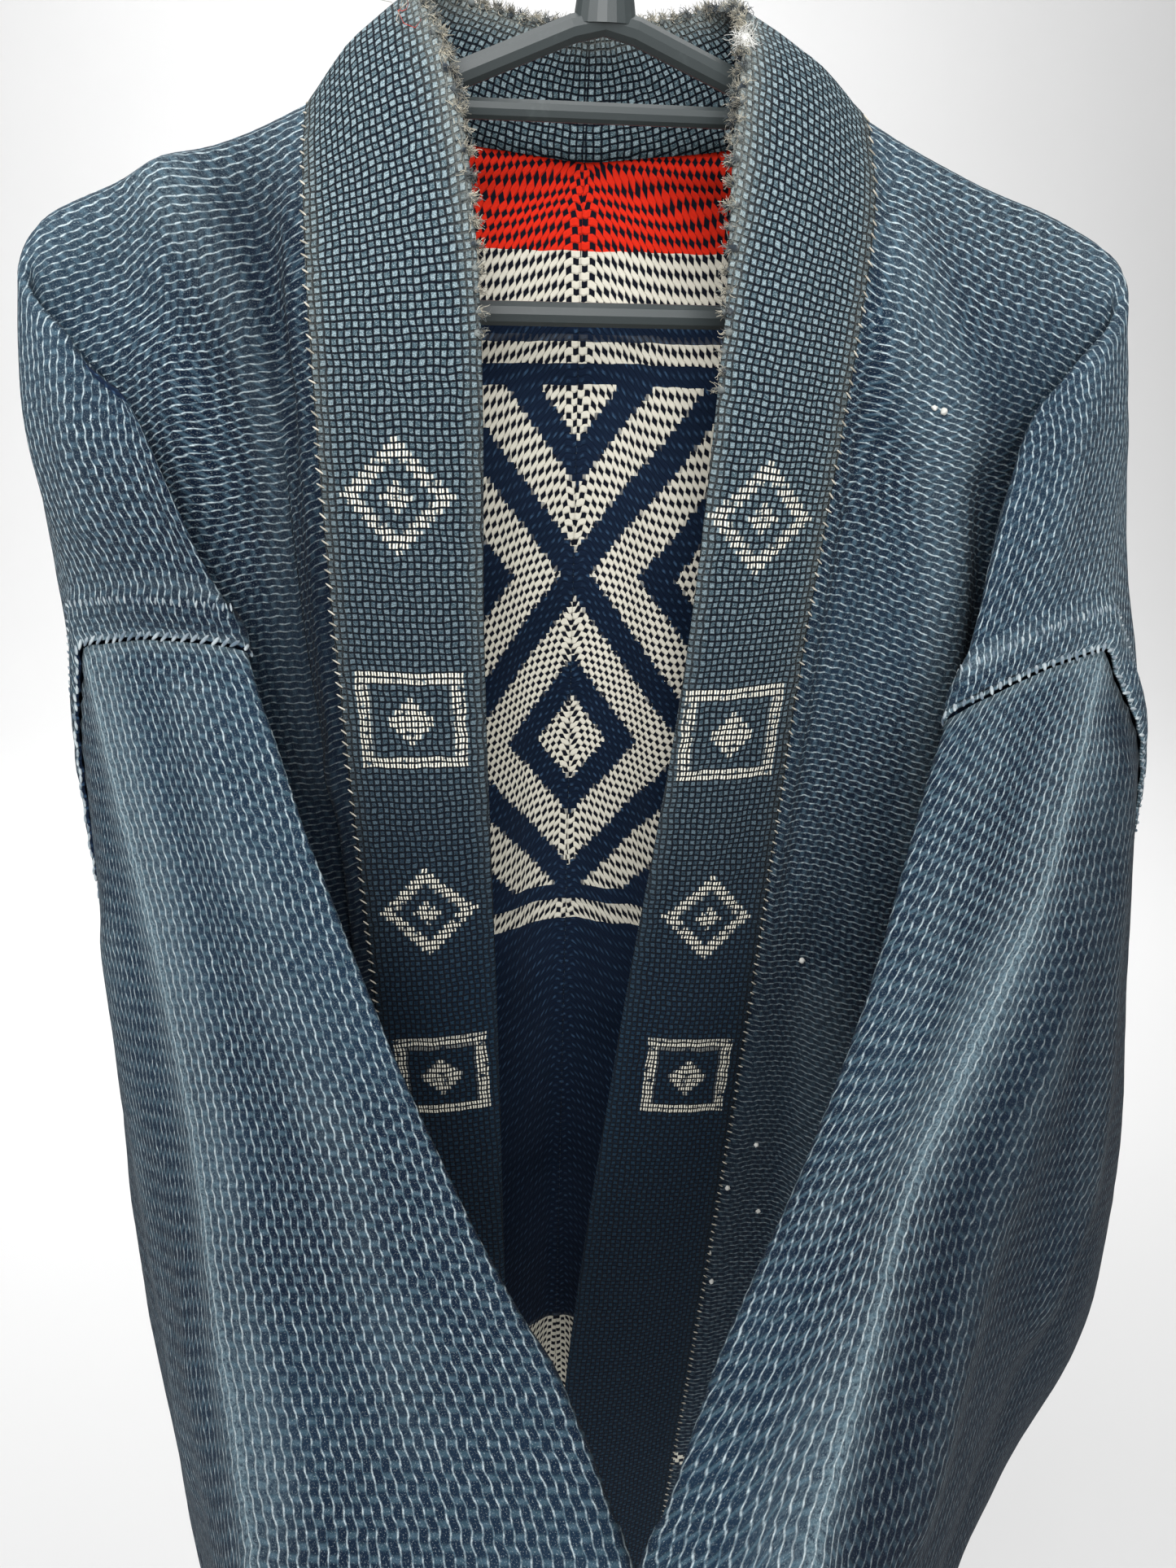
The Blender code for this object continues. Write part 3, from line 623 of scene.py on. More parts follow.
def dyedDesign(t, waver):
    s = sashiko
    soft = 0.02
    _, x, z = t.map("print")
    behind = t.step(t.attribute("behind"), 0.4, 0.6)
    xs = t.snap(x, s["printStep"])
    zs = t.snap(t.plus(z, waver), s["rowPitch"])
    wide, tall = s["designWidth"], s["designHeight"]
    sideways = t.over(t.swing(xs, wide), wide)
    downward = t.over(t.swing(t.less(zs, s["lattice"][0]), tall), tall)
    level = t.plus(sideways, downward)
    hishi = t.most(t.below(level, s["diamondCore"], 0.01), t.flip(t.below(level, s["diamondCorner"], 0.01)))
    for inside, outside in s["diamondBands"]:
        hishi = t.most(hishi, t.between(level, inside, outside, 0.01))
    far = t.size(xs)
    hishi = t.times(hishi, t.between(zs, *s["lattice"], soft))
    hishi = t.times(hishi, t.below(far, s["designHalf"], 0.1))
    top, foot = s["design"]
    innerHalf, outerHalf = s["border"]
    edging = outerHalf - innerHalf
    panel = t.times(t.between(zs, top, foot, soft), t.below(far, outerHalf))
    hollow = t.times(t.between(zs, top + edging, foot - edging, soft), t.below(far, innerHalf))
    cream = t.most(hishi, t.less(panel, hollow))
    cream = t.most(cream, t.between(zs, *s["creamBand"], soft))
    cream = t.most(cream, t.between(zs, *s["hemBand"], soft))
    red = t.between(zs, *s["redBand"], soft)
    zigzag = t.plus(s["frontHem"], t.swing(xs, s["zigzagRise"]))
    front = t.between(t.less(zs, zigzag), -s["zigzagHalf"], s["zigzagHalf"], soft)
    cream = t.mix(behind, front, cream)
    return cream, t.times(red, behind)


def sashikoCotton(name, printed, inside=False, fadedAndShaded=0.0):
    s = sashiko
    t = Tree(name, roughness=0.93, sheen=0.02)
    cloth, u, v = t.map("cloth")
    place = t.place()
    waverScale, waverReach = s["waver"]
    waver = t.times(t.less(t.noise(cloth, waverScale, 1.0), 0.5), waverReach)
    sway = t.times(t.sine(t.times(u, 2 * math.pi / s["cellLength"])), s["sway"])
    v = t.plus(v, t.plus(waver, sway))
    across, down = weaveCells(t, u, v, s["rowPitch"], s["cellLength"])
    fibre = t.noise(cloth, s["fibreScale"], 3.0, 0.7)
    ragged = t.times(t.less(fibre, 0.5), 0.5)
    patch = t.noise(place, s["patchScale"], 3.0, 0.6)
    speck = t.noise(cloth, s["speckScale"], 2.0, 0.6)
    wear = t.attribute("wear")
    strand = t.noise(cloth, s["strandScale"], 2.0, 0.7)
    torn = t.plus(t.times(ragged, 0.6), t.less(t.times(strand, 0.5), 0.25))
    rib = t.step(t.plus(down, torn), 0.06, 0.30, 1.0, 0.0)
    bridge = t.step(t.plus(across, ragged), 0.12, 0.50, 1.0, 0.0)
    if inside:
        deep = t.mix(t.step(patch, 0.3, 0.7), s["inside"], s["insidePatch"])
        fleck = t.times(bridge, t.step(t.plus(down, ragged), 0.3, 0.7))
        colour = t.mix(t.times(fleck, t.step(speck, 0.4, 0.65, 0.15, 0.9)), deep, s["insideFleck"])
        height = t.plus(t.times(bridge, 0.5), t.times(t.step(down, 0.0, 0.5), 0.5))
    else:
        deep = t.mix(t.step(patch, 0.35, 0.7), s["darkCell"], s["paleCell"])
        fuzzy = t.mix(fadedAndShaded, s["bridge"], s["sleeveBridge"])
        fuzzy = t.mix(t.step(speck, 0.35, 0.7), fuzzy, s["darkRib"])
        colour = t.mix(t.times(bridge, 0.75), deep, fuzzy)
        bright = t.plus(speck, t.times(wear, 0.3))
        bright = t.plus(bright, t.times(bridge, 0.10))
        ribColour = t.mix(t.step(bright, 0.42, 0.74), s["darkRib"], s["paleRib"])
        shown = t.plus(speck, t.plus(t.times(bridge, 0.2), 0.12 * fadedAndShaded))
        shown = t.step(shown, 0.30, 0.56, 0.35, 1.0)
        if fadedAndShaded:
            ridge = t.step(t.size(t.less(v, 0.3)), 0.3, 2.2, 1.0, 0.0)
            ribColour = t.mix(t.times(ridge, 0.3), ribColour, s["sleeveRidge"])
            shown = t.most(shown, t.times(ridge, 0.8))
            wear = t.plus(wear, t.times(ridge, t.step(patch, 0.3, 0.65, 0.0, 0.45)))
        colour = t.mix(t.times(rib, shown), colour, ribColour)
        rubbed = t.times(wear, t.step(fibre, 0.35, 0.65, 0.1, 0.75))
        colour = t.mix(rubbed, colour, s["worn"])
        loose = t.step(t.plus(strand, t.times(rib, 0.06)), 0.56, 0.74, 0.0, 0.6)
        colour = t.mix(loose, colour, s["fleck"])
        # painted shade: the cloth darkens towards the bottom, more on the sleeves
        lit = t.step(t.axis(place, 2), *s["lowHeight"], s["lowShade"] - s["sleeveShade"] * fadedAndShaded, 1.0)
        colour = t.mix(t.flip(lit), colour, s["shadow"])
        # painted shade: the deep mark darkens the cloth in recesses and on the back of the sleeves
        colour = t.mix(t.times(t.attribute("deep"), 0.8), colour, s["paintedShade"])
        height = t.most(rib, t.times(bridge, 0.6))
    if printed:
        cream, red = dyedDesign(t, waver)
        dot = t.times(t.step(t.plus(across, t.times(ragged, 0.2)), 0.59, 0.65), t.step(down, 0.04, 0.16))
        block = t.times(t.step(down, 0.0, 0.16, 0.55, 1.0), t.step(fibre, 0.3, 0.7, 0.8, 1.0))
        creamColour = t.mix(dot, t.mix(block, s["darkCream"], s["cream"]), s["dot"])
        redColour = t.mix(dot, t.mix(block, s["darkRed"], s["red"]), s["dot"])
        dulled = 1.0 if inside else 0.72
        colour = t.mix(t.times(cream, dulled), colour, creamColour)
        colour = t.mix(t.times(red, dulled), colour, redColour)
        dyed = t.most(cream, red)
        raised = t.times(t.flip(dot), t.step(down, 0.0, 0.3, 0.4, 1.0))
        height = t.plus(t.times(height, t.flip(dyed)), t.times(raised, dyed))
    t.colour(colour)
    t.bump(t.plus(height, t.times(fibre, 0.35)), *s["bump"])
    return t.material


# coarse collar cloth, lighter at the neck and darker towards the bottom
basket = {
    "pitch": 0.25, "topFloat": (102, 124, 134), "lowFloat": (18, 42, 60),
    "topFlat": (66, 88, 98), "lowFlat": (7, 26, 44), "gap": (8, 16, 28), "cream": (252, 248, 230),
    "topStrand": (184, 202, 206), "lowStrand": (42, 66, 84),
    "topWorn": (150, 154, 148), "lowWorn": (34, 52, 66),
    "bendScale": 1.1, "fibreScale": 8.0, "strandScale": 22.0, "darkening": (8.0, 48.0), "bump": (0.9, 0.0013),
    "markStart": 13.5, "markPitch": 8.6, "markCount": 4,
    "markHalf": 2.15, "markCentre": 2.75, "markWidth": 5.15,
}


def basketWeave(name):
    b = basket
    t = Tree(name, roughness=0.95, sheen=0.02)
    cloth, u, v = t.map("cloth")
    place = t.place()
    fibre = t.noise(cloth, b["fibreScale"], 3.0, 0.7)
    bend = t.times(t.less(t.noise(cloth, b["bendScale"], 1.0), 0.5), 0.22)
    cu = t.over(t.plus(u, bend), b["pitch"])
    cv = t.over(t.less(v, bend), b["pitch"])
    parity = t.rest(t.plus(t.whole(cu), t.whole(cv)), 2.0)
    ragged = t.times(t.less(fibre, 0.5), 0.45)
    fu = t.plus(t.times(t.swing(cu, 0.5), 2.0), ragged)
    fv = t.plus(t.times(t.swing(cv, 0.5), 2.0), ragged)
    body = t.times(t.step(fu, 0.08, 0.42), t.step(fv, 0.08, 0.42))
    # the collar cloth gets darker from the neck down
    darkening = t.step(t.plus(v, t.times(t.noise(place, 7.0, 2.0), 14.0)), *b["darkening"])
    floats = t.mix(darkening, b["topFloat"], b["lowFloat"])
    flats = t.mix(darkening, b["topFlat"], b["lowFlat"])
    colour = t.mix(parity, flats, floats)
    strand = t.noise(cloth, b["strandScale"], 2.0, 0.7)
    loose = t.step(t.plus(strand, t.times(parity, 0.08)), 0.48, 0.70, 0.0, 0.7)
    colour = t.mix(loose, colour, t.mix(darkening, b["topStrand"], b["lowStrand"]))
    number = t.whole(t.over(t.less(v, b["markStart"]), b["markPitch"]))
    snapU = t.times(t.plus(t.whole(t.times(cu, 2.0)), 0.5), b["pitch"] / 2)
    snapV = t.times(t.plus(t.whole(cv), 0.5), b["pitch"])
    p = t.size(t.over(t.less(snapU, b["markCentre"]), b["markHalf"]))
    snapLine = t.less(t.over(t.less(snapV, b["markStart"]), b["markPitch"]), number)
    q = t.size(t.over(t.less(t.times(snapLine, b["markPitch"]), b["markHalf"]), b["markHalf"]))
    spread = t.plus(p, q)
    diamond = t.most(t.between(spread, 0.66, 0.98, 0.02), t.step(spread, 0.26, 0.3, 1.0, 0.0))
    largest = t.most(p, q)
    frameMark = t.most(t.between(largest, 0.74, 0.97, 0.02), t.step(spread, 0.44, 0.48, 1.0, 0.0))
    odd = t.rest(number, 2.0)
    mark = t.plus(t.times(diamond, t.flip(odd)), t.times(frameMark, odd))
    reach = t.times(t.between(number, -0.5, b["markCount"] - 0.5, 0.01), t.below(u, b["markWidth"]))
    kept = t.step(t.noise(cloth, 2.6, 2.0, 0.6), 0.34, 0.46)
    oval = t.times(t.step(t.times(t.swing(t.times(cu, 2.0), 0.5), 2.0), 0.25, 0.5), t.step(fv, 0.15, 0.35))
    mark = t.times(t.times(mark, reach), t.times(kept, oval))
    colour = t.mix(mark, colour, b["cream"])
    colour = t.mix(t.flip(body), colour, b["gap"])
    rubbed = t.times(t.attribute("wear"), t.step(fibre, 0.3, 0.6, 0.1, 0.8))
    colour = t.mix(rubbed, colour, t.mix(darkening, b["topWorn"], b["lowWorn"]))
    t.colour(colour)
    high = t.times(body, t.plus(0.75, t.times(parity, 0.35)))
    t.bump(t.plus(high, t.times(fibre, 0.5)), *b["bump"])
    return t.material


def hangerPlastic(name):
    t = Tree(name, roughness=0.42)
    place = t.place()
    seam = t.step(t.size(t.axis(place, 1)), 0.0002, 0.0006, 1.0, 0.0)
    grain = t.noise(place, 900.0, 2.0)
    scuff = t.step(t.noise(place, 60.0, 4.0, 0.7), 0.56, 0.75)
    colour = t.mix(scuff, (56, 63, 64), (70, 78, 78))
    colour = t.mix(t.times(seam, 0.55), colour, (150, 156, 152))
    t.colour(colour)
    t.bump(t.plus(t.times(grain, 0.12), seam), 0.35, 0.0003)
    return t.material


def steelWire(name):
    t = Tree(name, roughness=0.28, metallic=1)
    place = t.place()
    rub = t.noise(place, 300.0, 3.0)
    t.colour(t.mix(t.step(rub, 0.4, 0.7), (178, 180, 182), (205, 206, 208)))
    t.bump(rub, 0.15, 0.0002)
    return t.material


def yarn(name, dark, pale):
    t = Tree(name, roughness=0.9, sheen=0.2)
    place = t.place()
    strand = t.noise(place, 2600.0, 2.0)
    t.colour(t.mix(t.step(t.noise(place, 180.0, 2.0), 0.35, 0.65), dark, pale))
    t.bump(strand, 0.6, 0.0002)
    return t.material


def paleGround(name):
    t = Tree(name, roughness=0.95)
    place = t.place()
    t.colour(t.mix(t.noise(place, 3.0, 2.0), (224, 224, 224), (227, 227, 227)))
    return t.material


look = {
    "body": sashikoCotton("sashikoBody", True),
    "bodyInside": sashikoCotton("sashikoInside", True, inside=True),
    "sleeve": sashikoCotton("sashikoSleeve", False, fadedAndShaded=1.0),
    "sleeveInside": sashikoCotton("sashikoSleeveInside", False, inside=True),
    "collar": basketWeave("collarBasket"),
    "plastic": hangerPlastic("hangerPlastic"),
    "steel": steelWire("hookSteel"),
    "seamThread": yarn("seamThread", (92, 108, 122), (176, 186, 190)),
    "beigeThread": yarn("beigeThread", (150, 146, 134), (208, 202, 188)),
    "fuzz": yarn("greyFuzz", (120, 118, 108), (204, 198, 180)),
    "darkFuzz": yarn("darkFuzz", (46, 54, 62), (124, 130, 128)),
    "lint": yarn("whiteLint", (206, 206, 200), (240, 240, 236)),
    "redThread": yarn("redThread", (190, 40, 30), (214, 66, 48)),
    "ground": paleGround("paleGround"),
}
print("materials ready")


# each cloth piece stands for its solid and rides with it

def finishPiece(obj, nodes=()):
    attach(obj, "root")
    if nodes:
        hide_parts(*nodes)


# a fold is a line of points, its width and its rise out of the cloth; a crease has a rise below 0
bodyPiece = {
    "wall": 0.13, "flat": (0.385, 1.60), "rowStep": 0.7, "topStep": 0.4, "topHalf": 12, "parts": 4,
    "tuck": 0.2, "tuckFade": 0.45, "centreFade": 0.8, "reach": 0.035, "reachFade": 0.4,
    "calmOuter": (0.2, 2.2), "calmInner": (0.1, 1.4),
    "allowance": 1.95, "allowanceRise": 0.18, "allowancePuff": 0.12, "allowanceEdge": 0.22,
    "hem": 1.8, "hemRise": 0.07, "hemEdge": 0.2,
    "large": (0.13, 6.5), "small": (0.035, 1.7), "pucker": 0.045,
    "brimWear": (0.55, 0.16), "seamWear": (0.8, 0.16), "foldWear": (0.2, 0.12, 0.45),
    "topWear": (0.25, 3.0),
    "rightFolds": [
        (
            [(10, -2, -14.5), (12, -2.3, -18.5), (13.5, -2.2, -22), (15, -2, -30), (15.5, -2, -40)],
            1.6, 0.62,
        ),
        ([(15.5, -2, -23.5), (16.5, -1.5, -30), (16, -1.6, -37)], 1.0, -0.5),
        (
            [(10, -1.1, -12.3), (9.7, -2.9, -17.5), (9.6, -3.3, -23), (9.5, -3.3, -31), (9, -3.4, -41)],
            0.8, -0.34,
        ),
        ([(11, -2.6, -47), (12, -3, -56), (11, -3.2, -70), (11.5, -3.3, -88)], 1.7, 0.55),
        ([(16, -1, -62), (16.5, -1, -75), (15.5, -1, -92)], 1.5, 0.45),
        ([(19.6, -0.8, -15.9), (18.2, -3.1, -20.5), (17, -5.2, -26)], 0.9, 0.26),
        ([(2, 6, -19.5), (2.3, 5.9, -29), (3, 5.6, -39), (3.6, 5.5, -52)], 0.75, 0.32),
        ([(4.2, 5.5, -22), (4.4, 5.4, -36), (5.5, 5.2, -60), (5, 5.4, -86)], 1.0, -0.25),
        ([(12.5, 6, -30), (12, 6.6, -50), (12.5, 6.8, -70), (11, 7, -88)], 2.2, 0.5),
        ([(17.5, 4.4, -26), (17, 4.8, -45), (15, 5, -66)], 1.3, -0.3),
    ],
    # painted shade: cloth in the deepest places is darkened where shade falls
    "rightDeep": [
        ([(16.3, -1.8, -20), (16.6, -1.6, -30), (16.5, -1.6, -44)], 1.6, 0.45),
        ([(8.5, -3.4, -46), (8, -3.4, -64), (8, -3.4, -92)], 6.0, 0.45),
    ],
    "leftDeep": [
        ([(-12.2, -1.5, -14.5), (-11, -2.6, -20), (-10.2, -3.4, -30), (-9.2, -3.4, -48)], 2.2, 0.75),
        ([(-13.5, -3, -30), (-11, -3, -48), (-10, -3, -92)], 4.5, 0.6),
    ],
    "leftFolds": [
        (
            [
                (-15, -0.7, -13.6), (-13, -1.8, -16), (-12, -2.3, -20), (-11.5, -2.4, -26.5),
                (-11, -2.6, -35),
            ],
            1.2, 0.6,
        ),
        ([(-12.4, -1.3, -14), (-11.5, -2.5, -18), (-11, -3.4, -23), (-10.6, -3.5, -33)], 0.9, -0.42),
        ([(-17.6, -1, -16.2), (-16, -1.5, -17.5), (-14.2, -2.1, -19.8), (-13.4, -2.2, -25)], 0.9, -0.45),
        ([(-12, -2.6, -48), (-11, -3, -60), (-12, -3.3, -86)], 1.6, 0.5),
        ([(-19.2, -0.9, -16.4), (-18.8, -3, -20), (-18.8, -3.1, -24.5)], 0.8, 0.24),
        ([(-18, -1, -17.6), (-16.7, -3.8, -21), (-15.8, -4.4, -25.4)], 0.9, -0.3),
        ([(-0.9, 6.2, -20), (-0.8, 6.3, -29), (-0.8, 6.4, -42)], 0.5, -0.16),
        ([(-2.6, 5.9, -20), (-2.1, 5.9, -32.6), (-1.6, 6.1, -52)], 0.8, 0.26),
        ([(-5.5, 5.4, -24), (-5, 5.3, -48), (-6, 5.4, -84)], 1.1, -0.28),
        ([(-11.5, 6.2, -30), (-11, 6.7, -52), (-12, 6.9, -86)], 2.0, 0.5),
    ],
}


def makeBody(side, rings):
    b = bodyPiece
    sign = 1 if side == "right" else -1
    cage = np.array([rowThrough(bodyControls(side, rings, h), cut["spans"]) for h in bodyHeights])
    end, topHalf = cut["frontRows"][0], b["topHalf"]
    top = np.linspace(-topHalf, topHalf, int(2 * topHalf / b["topStep"]) + 1)
    low = np.arange(topHalf + b["rowStep"], end, b["rowStep"])
    heights = np.concatenate([[-end], -low[::-1], top, low, [end]])
    p = curveThrough(bodyHeights, cage, heights)
    columns = np.linspace(0, cage.shape[1] - 1, (cage.shape[1] - 1) * b["parts"] + 1)
    p = curveThrough(np.arange(cage.shape[1]), p.swapaxes(0, 1), columns).swapaxes(0, 1)
    h = np.repeat(heights[:, None], p.shape[1], 1)
    inner = lengthAlong(p, 1)
    outer = inner[:, -1:] - inner
    # edges are drawn together where they are sewn
    for r in np.where(heights <= cut["neckBack"] + 0.01)[0]:
        section = [Vector(q) for q in collarSection(side, heights[r])]
        under = section[-1] + (section[-2] - section[-1]).normalized() * b["tuck"]
        p[r] += (np.array(under) - p[r, 0]) * np.exp(-inner[r] / b["tuckFade"])[:, None]
    atBack = smoothStep(h, cut["neckBack"] - 1, cut["neckBack"] - 0.2)
    nearCentre = smoothStep(np.abs(p[:, :1, 0]), 0.6, 0.3)
    p[..., 0] -= p[:, :1, 0] * atBack * nearCentre * np.exp(-inner / b["centreFade"])
    toSleeve = p[:, -1:] - p[:, -2:-1]
    toSleeve = toSleeve / np.linalg.norm(toSleeve, axis=-1, keepdims=True)
    below = smoothStep(np.abs(h), cut["armhole"] - 0.2, cut["armhole"] + 1.5)
    reach = b["reach"] * (1 - below) + cut["sideGap"] * below
    p = p + toSleeve * (reach * np.exp(-outer / b["reachFade"]))[..., None]
    seam = smoothStep(outer, *b["calmOuter"]) * smoothStep(inner, *b["calmInner"])
    folds = foldHeight(p, b[side + "Folds"])
    lift = (folds + slackness(b, outer, h, 3 + sign, 9 + sign)) * seam
    alongArmhole = np.abs(h) < cut["armhole"]
    lift += puckers(b, outer, h, 5 + sign) * alongArmhole
    folded = 1 - smoothStep(outer, b["allowance"], b["allowance"] + b["allowanceEdge"])
    folded = folded * alongArmhole
    puffed = 0.8 + 0.8 * unevenness(outer * 0, h, 1.3, 61 + sign)
    rounded = np.sin(np.pi * np.clip(outer / b["allowance"], 0, 1)) * puffed
    lift += folded * (b["allowanceRise"] + b["allowancePuff"] * rounded)
    hemTop = end - b["hem"]
    lift += b["hemRise"] * smoothStep(np.abs(h), hemTop - b["hemEdge"], hemTop)
    normal = gridNormals(p, False) * sign
    p = p + normal * lift[..., None]
    brim, brimWidth = b["brimWear"]
    wear = brim * np.exp(-(((outer - b["allowance"]) / brimWidth) ** 2)) * alongArmhole
    seamWear, seamWidth = b["seamWear"]
    wear += seamWear * np.exp(-outer / seamWidth)
    foldWear, foldLow, foldHigh = b["foldWear"]
    wear += foldWear * smoothStep(folds, foldLow, foldHigh)
    topWear, topReach = b["topWear"]
    wear += topWear * np.exp(-((h / topReach) ** 2))
    # painted shade along the listed recess lines, on the front only
    deep = np.clip(foldHeight(p, b[side + "Deep"]), 0, 1) * (h < 0)
    long = lengthAlong(p, 0)
    long = long - long[np.argmin(np.abs(heights))]
    maps = {"cloth": (outer, long), "print": (p[..., 0], -p[..., 2])}
    marks = {"wear": wear, "behind": (h > 0.8) * 1.0, "deep": deep}
    materials = [look["body"], look["bodyInside"]]
    obj = sheetMesh("body" + side.capitalize(), p, maps, marks, b["wall"], materials, facing=sign)
    finishPiece(obj, ["body_" + side])
    return {"points": p, "normal": normal, "h": h, "outer": outer}


sleevePiece = {
    "wall": 0.13, "along": 64, "round": 132, "rightFlat": (0.61, 0.355), "leftFlat": (0.585, 0.335),
    "large": (0.12, 6.0), "small": (0.035, 1.6), "pucker": 0.04, "hem": 1.6, "hemRise": 0.08,
    "calm": (0.2, 2.0), "hemEdge": 0.2, "seamWear": (0.7, 0.2), "cuffWear": (0.6, 0.25),
    "ridgeWear": (0.75, 0.22), "lineWear": (0.5, 0.75, 0.16),
    # deepSide, rightDeep and leftDeep set painted shade on the back of each sleeve, its belly
    "foldWear": (0.45, 0.05, 0.3), "deepSide": (33, 42, 61, 63.8), "rightDeep": 0.75, "leftDeep": 0.1,
    "rightFolds": [
        ([(16.5, -8, -31), (14, -12.5, -35.2), (10.5, -17, -38.5), (7, -22.5, -41.5)], 0.9, -0.24),
        ([(14.5, -8.2, -30.7), (11.8, -12.6, -35), (8.6, -17.5, -38.8), (5.2, -21.8, -41.2)], 1.3, 0.16),
        ([(20, -7.9, -33.2), (18.4, -12.6, -39.4), (16.6, -16.7, -45.3), (14.8, -19.2, -48.5)], 1.4, 0.48),
        ([(18, -11.4, -36.8), (13.6, -17.5, -41.6), (9.6, -23, -44.6), (6.9, -27, -47)], 1.1, 0.34),
        ([(21.5, -7, -40), (20.4, -10.6, -47), (17.4, -14.6, -53)], 1.3, -0.35),
        ([(16.5, -17.4, -49), (12.5, -21.6, -51.5), (8.2, -26, -53)], 1.5, -0.3),
    ],
    "leftFolds": [
        ([(-16.6, -6, -31.5), (-14.7, -10.5, -38.3), (-12, -17, -44), (-9.5, -24, -47.6)], 1.0, -0.2),
        ([(-15, -6, -30.3), (-12.4, -11, -37), (-9.5, -17.2, -43), (-7, -23.6, -46.5)], 1.4, 0.2),
        ([(-18.6, -7, -40), (-17, -12.6, -48), (-14.4, -19.4, -52.5)], 1.4, 0.3),
        ([(-19.4, -4.6, -43), (-18.2, -9.4, -51.5), (-15.6, -15, -56)], 1.2, -0.28),
        ([(-13.6, -18.8, -49.5), (-12.6, -23.5, -52.5), (-11.6, -27, -54.5)], 1.2, 0.26),
    ],
}


def makeSleeve(side, rings):
    s = sleevePiece
    sign = 1 if side == "right" else -1
    places = np.linspace(0, 1, len(rings))
    steps = np.linspace(0, 1, cut["sleeveRings"] + 1)
    full = np.array([roundRing(cut["ringKeys"], ring, ringHeights) for ring in rings])
    cage = curveThrough(places, full, steps)
    cage[0] += np.array([tuple(sleeveAlong(rings, h) * cut["seamGap"] / 2) for h in ringHeights])
    p = curveThrough(steps, cage, np.linspace(0, 1, s["along"]))
    around = cut["armhole"] + np.linspace(0, girth, s["round"], endpoint=False)
    p = roundRing(ringHeights, p.swapaxes(0, 1), around % girth).swapaxes(0, 1)
    h = np.repeat(around[None, :] % girth, p.shape[0], 0)
    out = lengthAlong(p, 0)
    back = out[-1:] - out
    folds = foldHeight(p, s[side + "Folds"])
    lift = (folds + slackness(s, out, h, 21 + sign, 25 + sign)) * smoothStep(out, *s["calm"])
    lift += puckers(s, out, h, 31 + sign)
    lift += s["hemRise"] * (1 - smoothStep(back, s["hem"], s["hem"] + s["hemEdge"]))
    normal = gridNormals(p, True) * sign
    p = p + normal * lift[..., None]
    near = np.minimum(h, girth - h)
    ridgeWear, ridgeWidth = s["ridgeWear"]
    wear = ridgeWear * np.exp(-((near / ridgeWidth) ** 2))
    lineWear, lineAt, lineWidth = s["lineWear"]
    wear += lineWear * np.exp(-(((near - lineAt) / lineWidth) ** 2))
    seamWear, seamWidth = s["seamWear"]
    cuffWear, cuffWidth = s["cuffWear"]
    wear += seamWear * np.exp(-out / seamWidth) + cuffWear * np.exp(-back / cuffWidth)
    worn = 0.45 + 0.9 * unevenness(out / 3, h, 1.1, 51 + sign)
    foldWear, foldLow, foldHigh = s["foldWear"]
    wear += foldWear * smoothStep(folds, foldLow, foldHigh) * np.clip(worn, 0, 1)
    around = lengthAlong(np.concatenate([p, p[:, :1]], 1), 1)
    ridge = around[:, s["round"] // 2:s["round"] // 2 + 1]
    maps = {"cloth": (np.concatenate([out, out[:, :1]], 1), around - ridge)}
    # painted shade on the back of the sleeve, strongest on the right sleeve
    low, lowFull, highFull, high = s["deepSide"]
    deep = s[side + "Deep"] * smoothStep(h, low, lowFull) * smoothStep(h, high, highFull)
    marks = {"wear": wear, "deep": deep}
    materials = [look["sleeve"], look["sleeveInside"]]
    name = "sleeve" + side.capitalize()
    obj = sheetMesh(name, p, maps, marks, s["wall"], materials, closed=True, facing=sign)
    finishPiece(obj, ["sleeve_" + side])
    lengths, rounds = out[-1], around[:, -1]
    print(obj.name, "round", rounds.min().round(1), rounds.max().round(1))


collarPiece = {
    "wall": 0.10, "flat": (0.115, 1.84), "half": 0.105, "seamRoom": 0.08, "puff": 0.05,
    "roomFade": 0.5, "step": 0.6, "across": 10, "small": (0.035, 1.5), "turnAngles": (45, 90, 135),
    "neckSteps": (0, 0.5, 1, 1.5, 2, 2.5, 3, 3.5), "frayed": (11, 4), "edgeWear": (0.35, 0.65),
    "edgeWidth": (0.35, 0.3), "seamWear": (0.5, 0.25),
}


